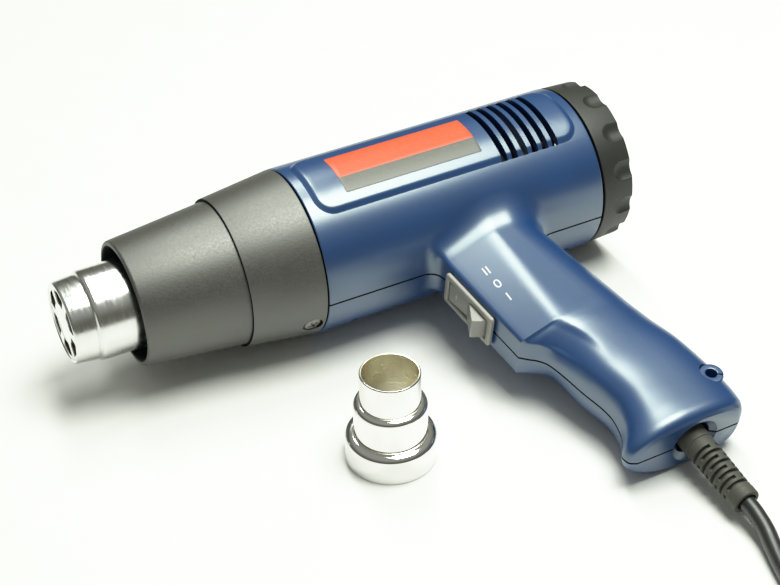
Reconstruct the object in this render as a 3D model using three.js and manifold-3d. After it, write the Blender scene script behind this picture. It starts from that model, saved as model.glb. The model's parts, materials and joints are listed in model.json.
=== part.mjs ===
// Hot air tool lying on its side, with its reducer nozzle standing beside it. Millimetres, +Z up.
// The tool is drawn in its own frame: X runs along the barrel from the outlet's mouth to the rear,
// the handle points to -Y, and the seam between the housing halves lies in the plane z = 0.
// Nested groups then lay it on the table, where the lower panel and the butt touch it.
import * as THREE from 'three';
import { mergeVertices } from 'three/addons/utils/BufferGeometryUtils.js';
import Module from 'manifold-3d';

const wasm = await Module();
wasm.setup();

// Clearances and walls
const FIT = 0.3;
const SEAM_GAP = 0.3;
const WALL = 2.5;
const GUARD_WALL = 2;
const SPIGOT_WALL = 2.2;

// Lengths along the barrel, and the places that follow, from the outlet's mouth
const NOZZLE_STEP_X = 10;
const NOZZLE_SHOWN = 26.6;
const SLEEVE_SHOWN = 43.6;
const SLEEVE_TUCK = 13.8;
const COLLAR_LENGTH = 32.7;
const BARREL_LENGTH = 135.6;
const CAP_LINE = 0.8;
const CAP_LENGTH = 16.5;
const GUARD_FRONT_X = NOZZLE_SHOWN;
const COLLAR_FRONT_X = GUARD_FRONT_X + SLEEVE_SHOWN;
const SLEEVE_REAR_X = COLLAR_FRONT_X + SLEEVE_TUCK;
const BARREL_FRONT_X = COLLAR_FRONT_X + COLLAR_LENGTH;
const BARREL_REAR_X = BARREL_FRONT_X + BARREL_LENGTH;
const CAP_REAR_X = BARREL_REAR_X + CAP_LENGTH;

// Radii of the outside
const NOZZLE_MOUTH_R = 17.3;
const NOZZLE_R = 18.6;
const NOZZLE_SHEET = 0.9;
const GUARD_FRONT_R = 26.9;
const GUARD_TAPER = 4.5;
const GUARD_TUCK_STEP = 0.5;
const COLLAR_STEP = 1.2;
const COLLAR_FLARE = 4;
const BARREL_TAPER = 0.6;
const CAP_SUNK = 0.2;
const CAP_TAPER = 0.6;
const CAP_EDGE = 0.9;
const GUARD_STEP_R = GUARD_FRONT_R + GUARD_TAPER;
const GUARD_TUCK_R = GUARD_STEP_R - GUARD_TUCK_STEP;
const COLLAR_FRONT_R = GUARD_STEP_R + COLLAR_STEP;
const BARREL_FRONT_R = COLLAR_FRONT_R + COLLAR_FLARE;
const BARREL_REAR_R = BARREL_FRONT_R + BARREL_TAPER;
const CAP_R = BARREL_REAR_R - CAP_SUNK;
const CAP_REAR_R = CAP_R - CAP_TAPER;

// Raised side panel with its air slots
const PANEL_RAISE = 1.2;
const PANEL_MARGIN_FRONT = 4.2;
const PANEL_MARGIN_REAR = 4.2;
const PANEL_HALF_WIDTH = 18;
const PANEL_CORNER_R = 8;
const SLOT_COUNT = 6;
const SLOT_PITCH = 5.15;
const SLOT_WIDTH = 3;
const SLOTS_TO_PANEL_END = 13.25;
const PANEL_FRONT_X = BARREL_FRONT_X + PANEL_MARGIN_FRONT;
const PANEL_REAR_X = BARREL_REAR_X - PANEL_MARGIN_REAR;
const SLOT_FIRST_X = PANEL_REAR_X - SLOTS_TO_PANEL_END - (SLOT_COUNT - 1) * SLOT_PITCH;

// Handle: where its front corner leaves the barrel, the block's top and length, the grip's length, and
// stations with their distance from the barrel's axis, front and rear edge along X from that corner,
// half thickness, and how far the section has turned from the switch block (0) into the oval grip (1)
const HANDLE_BEHIND_FRONT = 43.1;
const HANDLE_X = BARREL_FRONT_X + HANDLE_BEHIND_FRONT;
const BLOCK_TOP_D = 50;
const BLOCK_LENGTH = 43.5;
const GRIP_LENGTH = 69.7;
const gripD = (share) => BLOCK_TOP_D + BLOCK_LENGTH + GRIP_LENGTH * share;
const HANDLE_SHAPE = [
  { d: BLOCK_TOP_D - 28, front: 0, rear: 68, half: 19.5, oval: 0 },
  { d: BLOCK_TOP_D - 14, front: 1, rear: 67, half: 18.6, oval: 0 },
  { d: BLOCK_TOP_D - 10, front: 4.8, rear: 63.3, half: 18.1, oval: 0 },
  { d: BLOCK_TOP_D - 5, front: 8.7, rear: 60.2, half: 17.7, oval: 0 },
  { d: BLOCK_TOP_D, front: 9, rear: 59.6, half: 17.5, oval: 0 },
  { d: gripD(0), front: 13, rear: 68.2, half: 17.2, oval: 0 },
  { d: gripD(0.0416), front: 16.4, rear: 68.9, half: 17.1, oval: 0.35 },
  { d: gripD(0.0732), front: 20, rear: 69.5, half: 17, oval: 0.6 },
  { d: gripD(0.1248), front: 22.4, rear: 70.5, half: 16.9, oval: 0.85 },
  { d: gripD(0.1937), front: 23.3, rear: 71.6, half: 16.8, oval: 1 },
  { d: gripD(0.4161), front: 26.4, rear: 74.4, half: 16.4, oval: 1 },
  { d: gripD(0.66), front: 29.7, rear: 76.9, half: 15.9, oval: 1 },
  { d: gripD(0.7891), front: 28.1, rear: 77.8, half: 15.6, oval: 1 },
  { d: gripD(0.8608), front: 25.5, rear: 78.1, half: 15.4, oval: 1 },
  { d: gripD(0.9326), front: 22.2, rear: 77.9, half: 14.8, oval: 1 },
  { d: gripD(0.9756), front: 23, rear: 76.6, half: 13.4, oval: 1 },
  { d: gripD(1), front: 26, rear: 74, half: 11, oval: 1 },
];
const HANDLE = HANDLE_SHAPE.map((s) => ({ ...s, front: HANDLE_X + s.front, rear: HANDLE_X + s.rear }));
const FACE_HALF = 9.5;
const RIDGE_SETBACK = 16;
const REAR_ROUND = 17;
const OVAL_POWER = 2.3;
const BUTT_D = HANDLE[HANDLE.length - 1].d;
const FACE_TOP = HANDLE[4];
const FACE_LOW = HANDLE[5];
const HEEL = HANDLE[13];

// Rocker switch on the block's front face
const SWITCH_BELOW_FACE_TOP = 12.5;
const SWITCH_D = FACE_TOP.d + SWITCH_BELOW_FACE_TOP;
const BEZEL = { halfLength: 16.5, halfWidth: 7.8, thick: 2.2 };
const SWITCH_BODY = { halfLength: 14.6, halfWidth: 6.7, depth: 19 };
const ROCKER = { endR: 13.2, halfWidth: 4.9, pivotDepth: 1, topDeg: 25, bottomDeg: -8, valley: 2.6 };
const ROCKER_THROW_DEG = 13;
const TRUNNION_R = 1.5;
const TRUNNION_END = 6;
const ROCKER_WELL = 8;
const TERMINAL = { width: 4.8, thick: 0.8, length: 8, pitch: 9.5 };

// Screws
const SCREW = { headR: 2.8, head: 2.2, shankR: 1.45, intoUpper: 8, bossR: 3.6 };
const GRIP_SCREW = { topInset: 8.6, inset: 13.2, belowFaceTop: 10, belowFaceLow: 14.5, aboveButt: 13.2 };
const SCREW_INSET = { front: 15.1, rear: 12.5, wall: 5.5 };
const screwSide = BARREL_FRONT_R - WALL - SCREW_INSET.wall;
const HOUSING_SCREWS = [
  [BARREL_FRONT_X + SCREW_INSET.front, screwSide],
  [BARREL_REAR_X - SCREW_INSET.rear, screwSide],
  [BARREL_FRONT_X + SCREW_INSET.front, -screwSide],
  [BARREL_REAR_X - SCREW_INSET.rear, -screwSide],
  [FACE_TOP.rear - GRIP_SCREW.topInset, -FACE_TOP.d - GRIP_SCREW.belowFaceTop],
  [FACE_LOW.rear - GRIP_SCREW.inset, -FACE_LOW.d - GRIP_SCREW.belowFaceLow],
  [HEEL.front + GRIP_SCREW.inset, GRIP_SCREW.aboveButt - BUTT_D],
];
const GUARD_SCREW = {
  setback: 6.2, below: 17.9, headR: 3.1, head: 1.2, shankR: 1.4, length: 6.5, proud: 0.25,
};

// Cord, its strain relief, inner clamp and hanging eyelet
const CORD_R = 3.5;
const CORD_BEHIND_CORNER = 53.2;
const CORD_X = HANDLE_X + CORD_BEHIND_CORNER;
const RELIEF = { rootR: 7, tipR: 5.6, length: 34, neckR: 5, flangeR: 8, flange: 2.4, ribs: 6 };
const EXIT_DISH_R = 12;
const EXIT_DISH = 2.4;
const CLAMP_ABOVE_BUTT = 21.2;
const CLAMP = { d: BUTT_D - CLAMP_ABOVE_BUTT, length: 22, width: 8, thick: 3, postR: 3, spread: 7.6 };
const CLAMP_SCREW = { headR: 2.4, head: 1.6, shankR: 1.2, length: 9 };
const STUB_PAST_CLAMP = 12;
const CORD_STUB_D = CLAMP.d - STUB_PAST_CLAMP;
const LEAD_R = 1.1;
const LEAD_SPREAD = 1.8;
const LEADS = [
  { side: -1, via: [[12.4, 18], [15.4, 38]], reach: 2.4 },
  { side: 1, via: [[6.4, 18], [8.6, 38]], reach: 6 },
];
const EYELET_PLACE = { behindCorner: 71.2, aboveButt: 18 };
const EYELET = {
  x: HANDLE_X + EYELET_PLACE.behindCorner, d: BUTT_D - EYELET_PLACE.aboveButt, outerR: 4.7, boreR: 2.2,
  bottom: 4, top: 11, slit: 1, slitDeg: -35,
};

// Heater, motor and fan
const MICA_WALL = 0.6;
const MICA_SETBACK = 2.6;
const MICA_FRONT_X = NOZZLE_STEP_X + MICA_SETBACK;
const GRILLE = { front: 2.2, thick: 1.2, hubR: 6.5, openR: 13.6, spoke: 3.4, openings: 6 };
const FLANGE = 1.7;
const HEATER_MOUNT = 3;
const MOUNT_HOLE = { count: 6, ringR: 21, r: 4.5 };
const VANE = { half: 10.4, thick: 2.2, setback: 3.4 };
const WIRE = { r: 0.9, setback: 5, turns: 8, pitch: 7 };
const CUTOUT = { x: 5, y: 8, z: 9, offset: 12 };
const MOTOR_TO_BARREL_END = 26.5;
const MOTOR_LENGTH = 52;
const MOTOR_REAR_X = BARREL_REAR_X - MOTOR_TO_BARREL_END;
const MOTOR = { front: MOTOR_REAR_X - MOTOR_LENGTH, rear: MOTOR_REAR_X, r: 18 };
const MOTOR_FRAME = { length: 42, setback: 4, tubeWall: 2, flange: 3, hole: 5.2, holes: 6, holeRing: 27 };
const BOARD = { r: 15, thick: 1.6 };
const CAPACITOR = { x: 8, y: 13, z: 9 };
const SHAFT_R = 1.6;
const SHAFT_IN_MOTOR = 9;
const FAN_TIP_GAP = 0.6;
const FAN_BEHIND_MOTOR = 5;
const FAN = {
  front: MOTOR_REAR_X + FAN_BEHIND_MOTOR, length: 13, hubR: 7, tipR: screwSide - SCREW.bossR - FAN_TIP_GAP,
  blades: 7, blade: 1.4, rootSink: 1.5, pitchDeg: 38, chord: 13,
};
const SHAFT_PAST_FAN = 2;

// Rear cap
const CAP_WALL = 2.6;
const REAR_SPIGOT = 7;
const REAR_SPIGOT_STEP = 4.6;
const REAR_SPIGOT_R = BARREL_REAR_R - REAR_SPIGOT_STEP;
const SCALLOP = { count: 13, r: 8.5, depth: 2.2, length: 10.5, offsetDeg: 11, sides: 18 };
const INLET = { slots: 16, innerR: 13, outerR: 29, width: 2.8 };
const SCREEN = { thick: 0.9, holeR: 3.6, rim: 5, rings: 2, perRing: 7, edge: 0.6 };

// Reducer nozzle and where it stands, measured from the outlet's mouth
const REDUCER = { x: 99.05, y: -96.7, height: 42.2, sheet: 0.9, topR: 12.1, midR: 14.75, tuck: 1.6 };
const REDUCER_TIER_1 = 13.2;
const REDUCER_TIER_2 = 28;
const REDUCER_SLIDE = 0.35;
const REDUCER_BEAD = 1.1;

// Cord on the table, along X and Y from the relief's tip: route seen in the photograph, then the coil,
// the tail and the plug
const CORD_ROUTE = [
  [-0.9, -6.8, 7.4],
  [-1.6, -12.8, 6.1],
  [-3.3, -18.8, 4.9],
  [-5.3, -25.8, 4],
  [-7.1, -32.8, 3.7],
  [-8.7, -40.3, 3.6],
  [-9.8, -47.8, 3.9],
  [-10.2, -55.3, 4.5],
];
const COIL = { x: 39.6, y: -69.8, pitch: 7.6, innerR: 27, turnsPerLayer: 3, rise: 7.7, dip: 1.2 };
const TAIL_ROUTE = [
  [89.4, -54.8, 12.6],
  [89.3, -45.8, 11.6],
  [89, -35.8, 10],
  [88.7, -26.8, 8.6],
  [88.5, -18.8, 7.9],
];
const TIE = { thick: 1.2, width: 9, atDeg: 90, slack: 0.5 };
const PLUG = { x: 88.5, y: -11.8, pinR: 2.4, pin: 19, pinSpread: 9.5 };
const PLUG_SECTIONS = [
  { at: 0, halfWidth: 5.4, halfHeight: 5.4 },
  { at: 9, halfWidth: 6, halfHeight: 5.8 },
  { at: 17, halfWidth: 13.5, halfHeight: 7.2 },
  { at: 31, halfWidth: 17.2, halfHeight: 7.5 },
  { at: 35, halfWidth: 16.4, halfHeight: 7 },
];

// How round things are drawn
const BIG_SIDES = 40;
const MID_SIDES = 24;
const SMALL_SIDES = 8;
const RELIEF_SIDES = 10;
const PLUG_SIDES = 16;
const CORD_SIDES = 8;
const RUN_STEPS = 14;
const TAIL_STEPS = 8;
const LEAD_STEPS = 14;
const LOOP_STEPS = 24;
const LOOP_SIDES = 6;
const ARC_SEGMENTS = 3;
const CURL_STEPS = 8;
const CURL_SIDES = 5;

const deg = (a) => THREE.MathUtils.degToRad(a);
const lerp = THREE.MathUtils.lerp;

// Finishes
const finish = (color, roughness, metalness = 0) => () =>
  new THREE.MeshStandardMaterial({ color, roughness, metalness });
const bluePlastic = finish(0x2f5590, 0.42);
const greyPlastic = finish(0x50504c, 0.6);
const blackPlastic = finish(0x1c1c1e, 0.5);
const chrome = finish(0xd9dade, 0.12, 1);
const steel = finish(0xa9abae, 0.35, 1);
const brass = finish(0xb79a54, 0.35, 1);
const ceramic = finish(0xded8c8, 0.8);
const mica = finish(0xbfae8c, 0.6);
const boardGreen = finish(0x2d6a45, 0.6);
const cordBlack = finish(0x161616, 0.35);

// Closed mesh to solid, and back
function solid(geometry) {
  const bare = new THREE.BufferGeometry();
  bare.setAttribute('position', geometry.getAttribute('position').clone());
  if (geometry.index) bare.setIndex(geometry.index.clone());
  const welded = mergeVertices(bare, 1e-4);
  const points = welded.getAttribute('position').array;
  const index = welded.index.array;
  const faces = [];
  let volume = 0;
  const corner = (i) => new THREE.Vector3(points[3 * i], points[3 * i + 1], points[3 * i + 2]);
  for (let i = 0; i < index.length; i += 3) {
    const [a, b, c] = [index[i], index[i + 1], index[i + 2]];
    if (a === b || b === c || c === a) continue;
    faces.push([a, b, c]);
    volume += corner(a).dot(corner(b).cross(corner(c)));
  }
  const outward = volume < 0 ? faces.map(([a, b, c]) => [a, c, b]) : faces;
  return new wasm.Manifold(new wasm.Mesh({
    numProp: 3,
    vertProperties: new Float32Array(points),
    triVerts: new Uint32Array(outward.flat()),
  }));
}

function toGeometry(body) {
  const mesh = body.getMesh();
  const geometry = new THREE.BufferGeometry();
  geometry.setAttribute('position', new THREE.BufferAttribute(new Float32Array(mesh.vertProperties), 3));
  geometry.setIndex(new THREE.BufferAttribute(new Uint32Array(mesh.triVerts), 1));
  geometry.computeVertexNormals();
  return geometry;
}

const join = (bodies) => bodies.reduce((all, next) => all.add(next));
const cut = (body, tools) => tools.reduce((left, tool) => left.subtract(tool), body);

// Basic shapes
function block(x0, x1, y0, y1, z0, z1) {
  const geometry = new THREE.BoxGeometry(x1 - x0, y1 - y0, z1 - z0);
  return geometry.translate((x0 + x1) / 2, (y0 + y1) / 2, (z0 + z1) / 2);
}

function rodX(r, x0, x1, y = 0, z = 0, sides = SMALL_SIDES) {
  const geometry = new THREE.CylinderGeometry(r, r, x1 - x0, sides);
  return geometry.rotateZ(-Math.PI / 2).translate((x0 + x1) / 2, y, z);
}

function rodY(r, y0, y1, x, z = 0, sides = SMALL_SIDES) {
  return new THREE.CylinderGeometry(r, r, y1 - y0, sides).translate(x, (y0 + y1) / 2, z);
}

function rodZ(r, z0, z1, x, y, sides = SMALL_SIDES) {
  const geometry = new THREE.CylinderGeometry(r, r, z1 - z0, sides);
  return geometry.rotateX(Math.PI / 2).translate(x, y, (z0 + z1) / 2);
}

// Flat outline given a thickness upwards
function plate(outline, depth) {
  return new THREE.ExtrudeGeometry(outline, { depth, bevelEnabled: false, curveSegments: ARC_SEGMENTS });
}

// Section of [x, r] points turned about the X axis; it closes on itself
function turned(section, sides = BIG_SIDES) {
  const profile = [...section, section[0]].map(([x, r]) => new THREE.Vector2(r, x));
  return new THREE.LatheGeometry(profile, sides).rotateZ(-Math.PI / 2);
}

// The same about an upright axis, from [r, z] points
function turnedUpright(section, sides = MID_SIDES) {
  const profile = [...section, section[0]].map(([r, z]) => new THREE.Vector2(r, z));
  return new THREE.LatheGeometry(profile, sides).rotateX(Math.PI / 2);
}

// Skin over rings of equally many points, closed at both ends by fans about the rings' centres
function loft(rings) {
  const count = rings[0].length;
  const ends = [rings[0], rings[rings.length - 1]];
  const centres = ends.map((ring) =>
    ring.reduce((sum, p) => sum.add(p), new THREE.Vector3()).divideScalar(count));
  const points = [...rings.flat(), ...centres];
  const index = [];
  const first = points.length - 2;
  const last = points.length - 1;
  const tail = (rings.length - 1) * count;
  for (let i = 0; i < count; i += 1) {
    const j = (i + 1) % count;
    for (let k = 0; k < rings.length - 1; k += 1) {
      const a = k * count;
      const b = a + count;
      index.push(a + i, a + j, b + j, a + i, b + j, b + i);
    }
    index.push(first, j, i, last, tail + i, tail + j);
  }
  const geometry = new THREE.BufferGeometry().setFromPoints(points);
  return geometry.setIndex(index);
}

// Plain round tube along a curve
function cordTube(points, r, steps) {
  const rim = Array.from({ length: CORD_SIDES }, (_, k) => {
    const a = (2 * Math.PI * k) / CORD_SIDES;
    return new THREE.Vector2(r * Math.cos(a), r * Math.sin(a));
  });
  const extrudePath = new THREE.CatmullRomCurve3(points);
  return new THREE.ExtrudeGeometry(new THREE.Shape(rim), { steps, extrudePath, bevelEnabled: false });
}

// Round wound tube along points, its section kept square to a fixed direction
function tube(points, r, sides, up = new THREE.Vector3(0, 0, 1)) {
  const rings = points.map((p, i) => {
    const ahead = points[Math.min(i + 1, points.length - 1)];
    const behind = points[Math.max(i - 1, 0)];
    const along = ahead.clone().sub(behind).normalize();
    const side = new THREE.Vector3().crossVectors(along, up).normalize();
    const above = new THREE.Vector3().crossVectors(side, along);
    return Array.from({ length: sides }, (_, k) => {
      const a = (2 * Math.PI * k) / sides;
      return p.clone().addScaledVector(side, r * Math.cos(a)).addScaledVector(above, r * Math.sin(a));
    });
  });
  return solid(loft(rings));
}

// Least gap between stretches of one wound tube that are more than half a turn apart
function selfGap(points, r, apart) {
  let least = Infinity;
  for (let i = 0; i < points.length; i += 1) {
    for (let j = i + apart; j < points.length; j += 1) {
      least = Math.min(least, points[i].distanceTo(points[j]));
    }
  }
  return least - 2 * r;
}

// Meshes and groups
const lying = new THREE.Group();
const tool = new THREE.Group();
const root = new THREE.Group();
root.add(lying);
lying.add(tool);

function add(parent, name, shape, material) {
  const geometry = shape instanceof THREE.BufferGeometry ? shape : toGeometry(shape);
  const mesh = new THREE.Mesh(geometry, material());
  mesh.name = name;
  parent.add(mesh);
  return mesh;
}

// Radii that follow from the outside's
const along = (x, x0, r0, x1, r1) => r0 + ((x - x0) / (x1 - x0)) * (r1 - r0);
const guardR = (x) => along(x, GUARD_FRONT_X, GUARD_FRONT_R, COLLAR_FRONT_X, GUARD_STEP_R);
const collarR = (x) => along(x, COLLAR_FRONT_X, COLLAR_FRONT_R, BARREL_FRONT_X, BARREL_FRONT_R);
const barrelR = (x) => along(x, BARREL_FRONT_X, BARREL_FRONT_R, BARREL_REAR_X, BARREL_REAR_R);
const spigotR = (x) => collarR(x) - GUARD_WALL - FIT;
const flangeFront = SLEEVE_REAR_X + FIT;
const spigotFront = flangeFront + FLANGE + FIT;
const spigotRear = BARREL_REAR_X + REAR_SPIGOT;
const mountFront = spigotFront + 2;

// One half of a handle section, from the front edge to the rear edge, inset by the wall
function halfSection({ front, rear, half, oval }, inset) {
  const f = front + inset;
  const b = rear - inset;
  const h = half - inset;
  const face = FACE_HALF - inset / 2;
  const ridge = [f + RIDGE_SETBACK, h * 0.97];
  const straight = [[f, 0], [f, face / 2], [f, face], [f + RIDGE_SETBACK / 2, (face + ridge[1]) / 2], ridge];
  const rear4 = [90, 68, 45, 22, 0].map((a) =>
    [b - REAR_ROUND + REAR_ROUND * Math.cos(deg(a)), h * Math.sin(deg(a))]);
  const squared = [...straight, [(ridge[0] + rear4[0][0]) / 2, h], ...rear4];
  const bend = (v) => Math.sign(v) * Math.abs(v) ** (2 / OVAL_POWER);
  return squared.map(([x, z], k) => {
    const a = Math.PI * (1 - k / (squared.length - 1));
    const ox = (f + b) / 2 + ((b - f) / 2) * bend(Math.cos(a));
    const oz = h * bend(Math.max(Math.sin(a), 0));
    return [lerp(x, ox, oval), lerp(z, oz, oval)];
  });
}

function handleSolid(inset) {
  const stations = HANDLE.filter((s) => s.d < BUTT_D - inset || inset === 0).map((s) => ({ ...s }));
  if (inset > 0) {
    stations[0].d -= inset;
    const lowest = stations[stations.length - 1];
    stations.push({ ...lowest, d: BUTT_D - inset, front: lowest.front + inset, rear: lowest.rear - inset });
  }
  const rings = stations.map((s) => {
    const upper = halfSection(s, inset);
    const lower = upper.slice(1, -1).reverse().map(([x, z]) => [x, -z]);
    return [...upper, ...lower].map(([x, z]) => new THREE.Vector3(x, -s.d, z));
  });
  return solid(loft(rings));
}

// Switch place: on the block's sloping front face, X into the handle and +Y towards the barrel
const faceAngle = Math.atan2(FACE_LOW.front - FACE_TOP.front, FACE_LOW.d - FACE_TOP.d);
const switchPlace = new THREE.Group();
switchPlace.position.set(
  along(SWITCH_D, FACE_TOP.d, FACE_TOP.front, FACE_LOW.d, FACE_LOW.front), -SWITCH_D, 0);
switchPlace.rotation.z = faceAngle;
switchPlace.updateMatrix();
tool.add(switchPlace);

// Housing: two shells that meet at the seam, held together by screws in bosses
function barrelOuter() {
  return solid(turned([
    [spigotFront, 0],
    [spigotFront, spigotR(spigotFront)],
    [BARREL_FRONT_X, spigotR(BARREL_FRONT_X)],
    [BARREL_FRONT_X, BARREL_FRONT_R],
    [BARREL_REAR_X, BARREL_REAR_R],
    [BARREL_REAR_X, REAR_SPIGOT_R],
    [spigotRear, REAR_SPIGOT_R],
    [spigotRear, 0],
  ]));
}

function barrelInner() {
  const past = 1;
  return solid(turned([
    [spigotFront - past, 0],
    [spigotFront - past, spigotR(spigotFront) - SPIGOT_WALL],
    [BARREL_FRONT_X, spigotR(BARREL_FRONT_X) - SPIGOT_WALL],
    [BARREL_FRONT_X + WALL, barrelR(BARREL_FRONT_X) - WALL],
    [BARREL_REAR_X - WALL, barrelR(BARREL_REAR_X) - WALL],
    [BARREL_REAR_X, REAR_SPIGOT_R - SPIGOT_WALL],
    [spigotRear + past, REAR_SPIGOT_R - SPIGOT_WALL],
    [spigotRear + past, 0],
  ]));
}

function panel(side) {
  const outline = new THREE.Shape();
  const [x0, x1, w, r] = [PANEL_FRONT_X, PANEL_REAR_X, PANEL_HALF_WIDTH, PANEL_CORNER_R];
  outline.absarc(x1 - r, w - r, r, 0, Math.PI / 2);
  outline.absarc(x0 + r, w - r, r, Math.PI / 2, Math.PI);
  outline.absarc(x0 + r, r - w, r, Math.PI, 1.5 * Math.PI);
  outline.absarc(x1 - r, r - w, r, 1.5 * Math.PI, 2 * Math.PI);
  const tall = BARREL_REAR_R + 2 * PANEL_RAISE;
  const low = tall / 2;
  const plug = plate(outline, tall - low).translate(0, 0, low);
  if (side < 0) plug.rotateX(Math.PI);
  const skin = turned([
    [x0 - 1, 0],
    [x0 - 1, barrelR(x0) + PANEL_RAISE],
    [x1 + 1, barrelR(x1) + PANEL_RAISE],
    [x1 + 1, 0],
  ]);
  return solid(plug).intersect(solid(skin));
}

function airSlots(side) {
  const low = barrelR(SLOT_FIRST_X) * 0.7;
  const high = BARREL_REAR_R + 3 * PANEL_RAISE;
  return Array.from({ length: SLOT_COUNT }, (_, k) => {
    const x = SLOT_FIRST_X + k * SLOT_PITCH;
    const span = side > 0 ? [low, high] : [-high, -low];
    return solid(block(x - SLOT_WIDTH / 2, x + SLOT_WIDTH / 2, -PANEL_HALF_WIDTH, PANEL_HALF_WIDTH, ...span));
  });
}

function switchOpening() {
  const { halfLength, halfWidth } = SWITCH_BODY;
  const hole = block(-WALL, 2 * WALL, -halfLength - FIT, halfLength + FIT, -halfWidth - FIT, halfWidth + FIT);
  return solid(hole.applyMatrix4(switchPlace.matrix));
}

function cordExit() {
  const hole = rodY(RELIEF.neckR + FIT, -BUTT_D - 1, -BUTT_D + 2 * WALL, CORD_X, 0, MID_SIDES);
  const dish = new THREE.CylinderGeometry(RELIEF.rootR + FIT, EXIT_DISH_R, EXIT_DISH, MID_SIDES);
  dish.translate(CORD_X, -BUTT_D + EXIT_DISH / 2, 0);
  return solid(hole).add(solid(dish));
}

const screwFloor = (outer) => -outer + SCREW.head + FIT;
const bossReach = BARREL_REAR_R + PANEL_RAISE;

// Depth of the outside below the seam at a screw: on the barrel by its radius, on the handle by its half
function outsideAt([x, y]) {
  if (y > -BARREL_FRONT_R) return Math.sqrt(barrelR(x) ** 2 - (Math.abs(y) + SCREW.bossR) ** 2);
  const next = HANDLE.findIndex((s) => s.d > -y);
  const [a, b] = [HANDLE[next - 1], HANDLE[next]];
  return along(-y, a.d, a.half, b.d, b.half) - 1;
}

// Bosses run from the seam into the middle of the wall
function bosses(side) {
  const inset = WALL / 2;
  const barrelCore = turned([
    [BARREL_FRONT_X, 0],
    [BARREL_FRONT_X, BARREL_FRONT_R - inset],
    [BARREL_REAR_X, BARREL_REAR_R - inset],
    [BARREL_REAR_X, 0],
  ]);
  const core = solid(barrelCore).add(handleSolid(inset));
  return HOUSING_SCREWS.map(([x, y]) => {
    const span = side > 0 ? [SEAM_GAP / 2, bossReach] : [-bossReach, -SEAM_GAP / 2];
    return solid(rodZ(SCREW.bossR, ...span, x, y)).intersect(core);
  });
}

function screwHoles(side) {
  return HOUSING_SCREWS.flatMap((place) => {
    const [x, y] = place;
    const r = SCREW.shankR + FIT;
    if (side > 0) return [solid(rodZ(r, -1, SCREW.intoUpper + FIT, x, y))];
    const floor = screwFloor(outsideAt(place));
    return [
      solid(rodZ(r, -bossReach, 1, x, y)),
      solid(rodZ(SCREW.headR + FIT, -bossReach, floor + FIT, x, y)),
    ];
  });
}

function clampPosts() {
  const top = CORD_R + FIT;
  return [-1, 1].map((side) =>
    solid(rodZ(CLAMP.postR, -HANDLE[11].half + WALL / 2, top, CORD_X + side * CLAMP.spread, -CLAMP.d)));
}

function clampHoles() {
  const low = CORD_R + 2 * FIT + CLAMP.thick - CLAMP_SCREW.length;
  return [-1, 1].map((side) =>
    solid(rodZ(CLAMP_SCREW.shankR + FIT, low - FIT, CORD_R + 1, CORD_X + side * CLAMP.spread, -CLAMP.d)));
}

function housingHalf(side) {
  const outer = join([barrelOuter(), handleSolid(0), panel(1), panel(-1)]);
  const hollow = barrelInner().add(handleSolid(WALL));
  const shell = cut(outer, [hollow]);
  const far = 400;
  const keep = side > 0 ? [SEAM_GAP / 2, far] : [-far, -SEAM_GAP / 2];
  const half = shell.intersect(solid(block(-far, far, -far, far, ...keep)));
  const inside = bosses(side);
  const tools = [switchOpening(), cordExit(), ...airSlots(side), ...screwHoles(side)];
  if (side > 0) {
    const { x, d, outerR, bottom, top } = EYELET;
    tools.push(solid(rodZ(outerR + FIT, bottom - FIT, top + FIT, x, -d, MID_SIDES)));
    return cut(join([half, ...inside]), tools);
  }
  return cut(join([half, ...inside, ...clampPosts()]), [...tools, ...clampHoles()]);
}

function addHousing() {
  add(tool, 'upper_housing', housingHalf(1), bluePlastic);
  add(tool, 'lower_housing', housingHalf(-1), bluePlastic);
  HOUSING_SCREWS.forEach((place, k) => {
    const [x, y] = place;
    const seat = screwFloor(outsideAt(place));
    const head = solid(rodZ(SCREW.headR, seat - SCREW.head, seat, x, y));
    const shank = solid(rodZ(SCREW.shankR, seat - 1, SCREW.intoUpper, x, y));
    add(tool, `housing_screw_${k + 1}`, head.add(shank), steel);
  });
}

// Heat guard: a tapered sleeve whose rear end sits inside a collar, which screws onto the housing
function addGuard() {
  const lip = 0.8;
  add(tool, 'guard_sleeve', turned([
    [GUARD_FRONT_X, guardR(GUARD_FRONT_X) - GUARD_WALL],
    [GUARD_FRONT_X, guardR(GUARD_FRONT_X) - lip],
    [GUARD_FRONT_X + lip, guardR(GUARD_FRONT_X + lip)],
    [COLLAR_FRONT_X, GUARD_STEP_R],
    [SLEEVE_REAR_X, GUARD_TUCK_R],
    [SLEEVE_REAR_X, GUARD_TUCK_R - GUARD_WALL],
    [COLLAR_FRONT_X, GUARD_STEP_R - GUARD_WALL],
  ]), greyPlastic);
  const rear = BARREL_FRONT_X - FIT;
  const collar = solid(turned([
    [COLLAR_FRONT_X, GUARD_STEP_R + FIT],
    [COLLAR_FRONT_X, COLLAR_FRONT_R],
    [rear, collarR(rear)],
    [rear, collarR(rear) - GUARD_WALL],
    [flangeFront, collarR(flangeFront) - GUARD_WALL],
    [flangeFront, GUARD_STEP_R + FIT],
  ]));
  const { setback, below, headR, head, shankR, length, proud } = GUARD_SCREW;
  const x = BARREL_FRONT_X - setback;
  const out = collarR(x) + proud;
  const seat = out - head;
  const pockets = [];
  const bores = [];
  [0, 180].forEach((half, k) => {
    const turn = (g) => g.rotateX(deg(half) + deg(below));
    pockets.push(solid(turn(rodY(headR + FIT, -out - 5, -seat + FIT, x))));
    bores.push(solid(turn(rodY(shankR + FIT, -out - 5, length - out, x))));
    const body = solid(rodY(headR, -out, -seat, x)).add(solid(rodY(shankR, -seat - FIT, length - out, x)));
    const screw = add(tool, `guard_screw_${k + 1}`, body, steel);
    screw.rotation.x = deg(half) + deg(below);
  });
  add(tool, 'guard_collar', cut(collar, [...pockets, ...bores]), greyPlastic);
  return bores;
}

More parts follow.
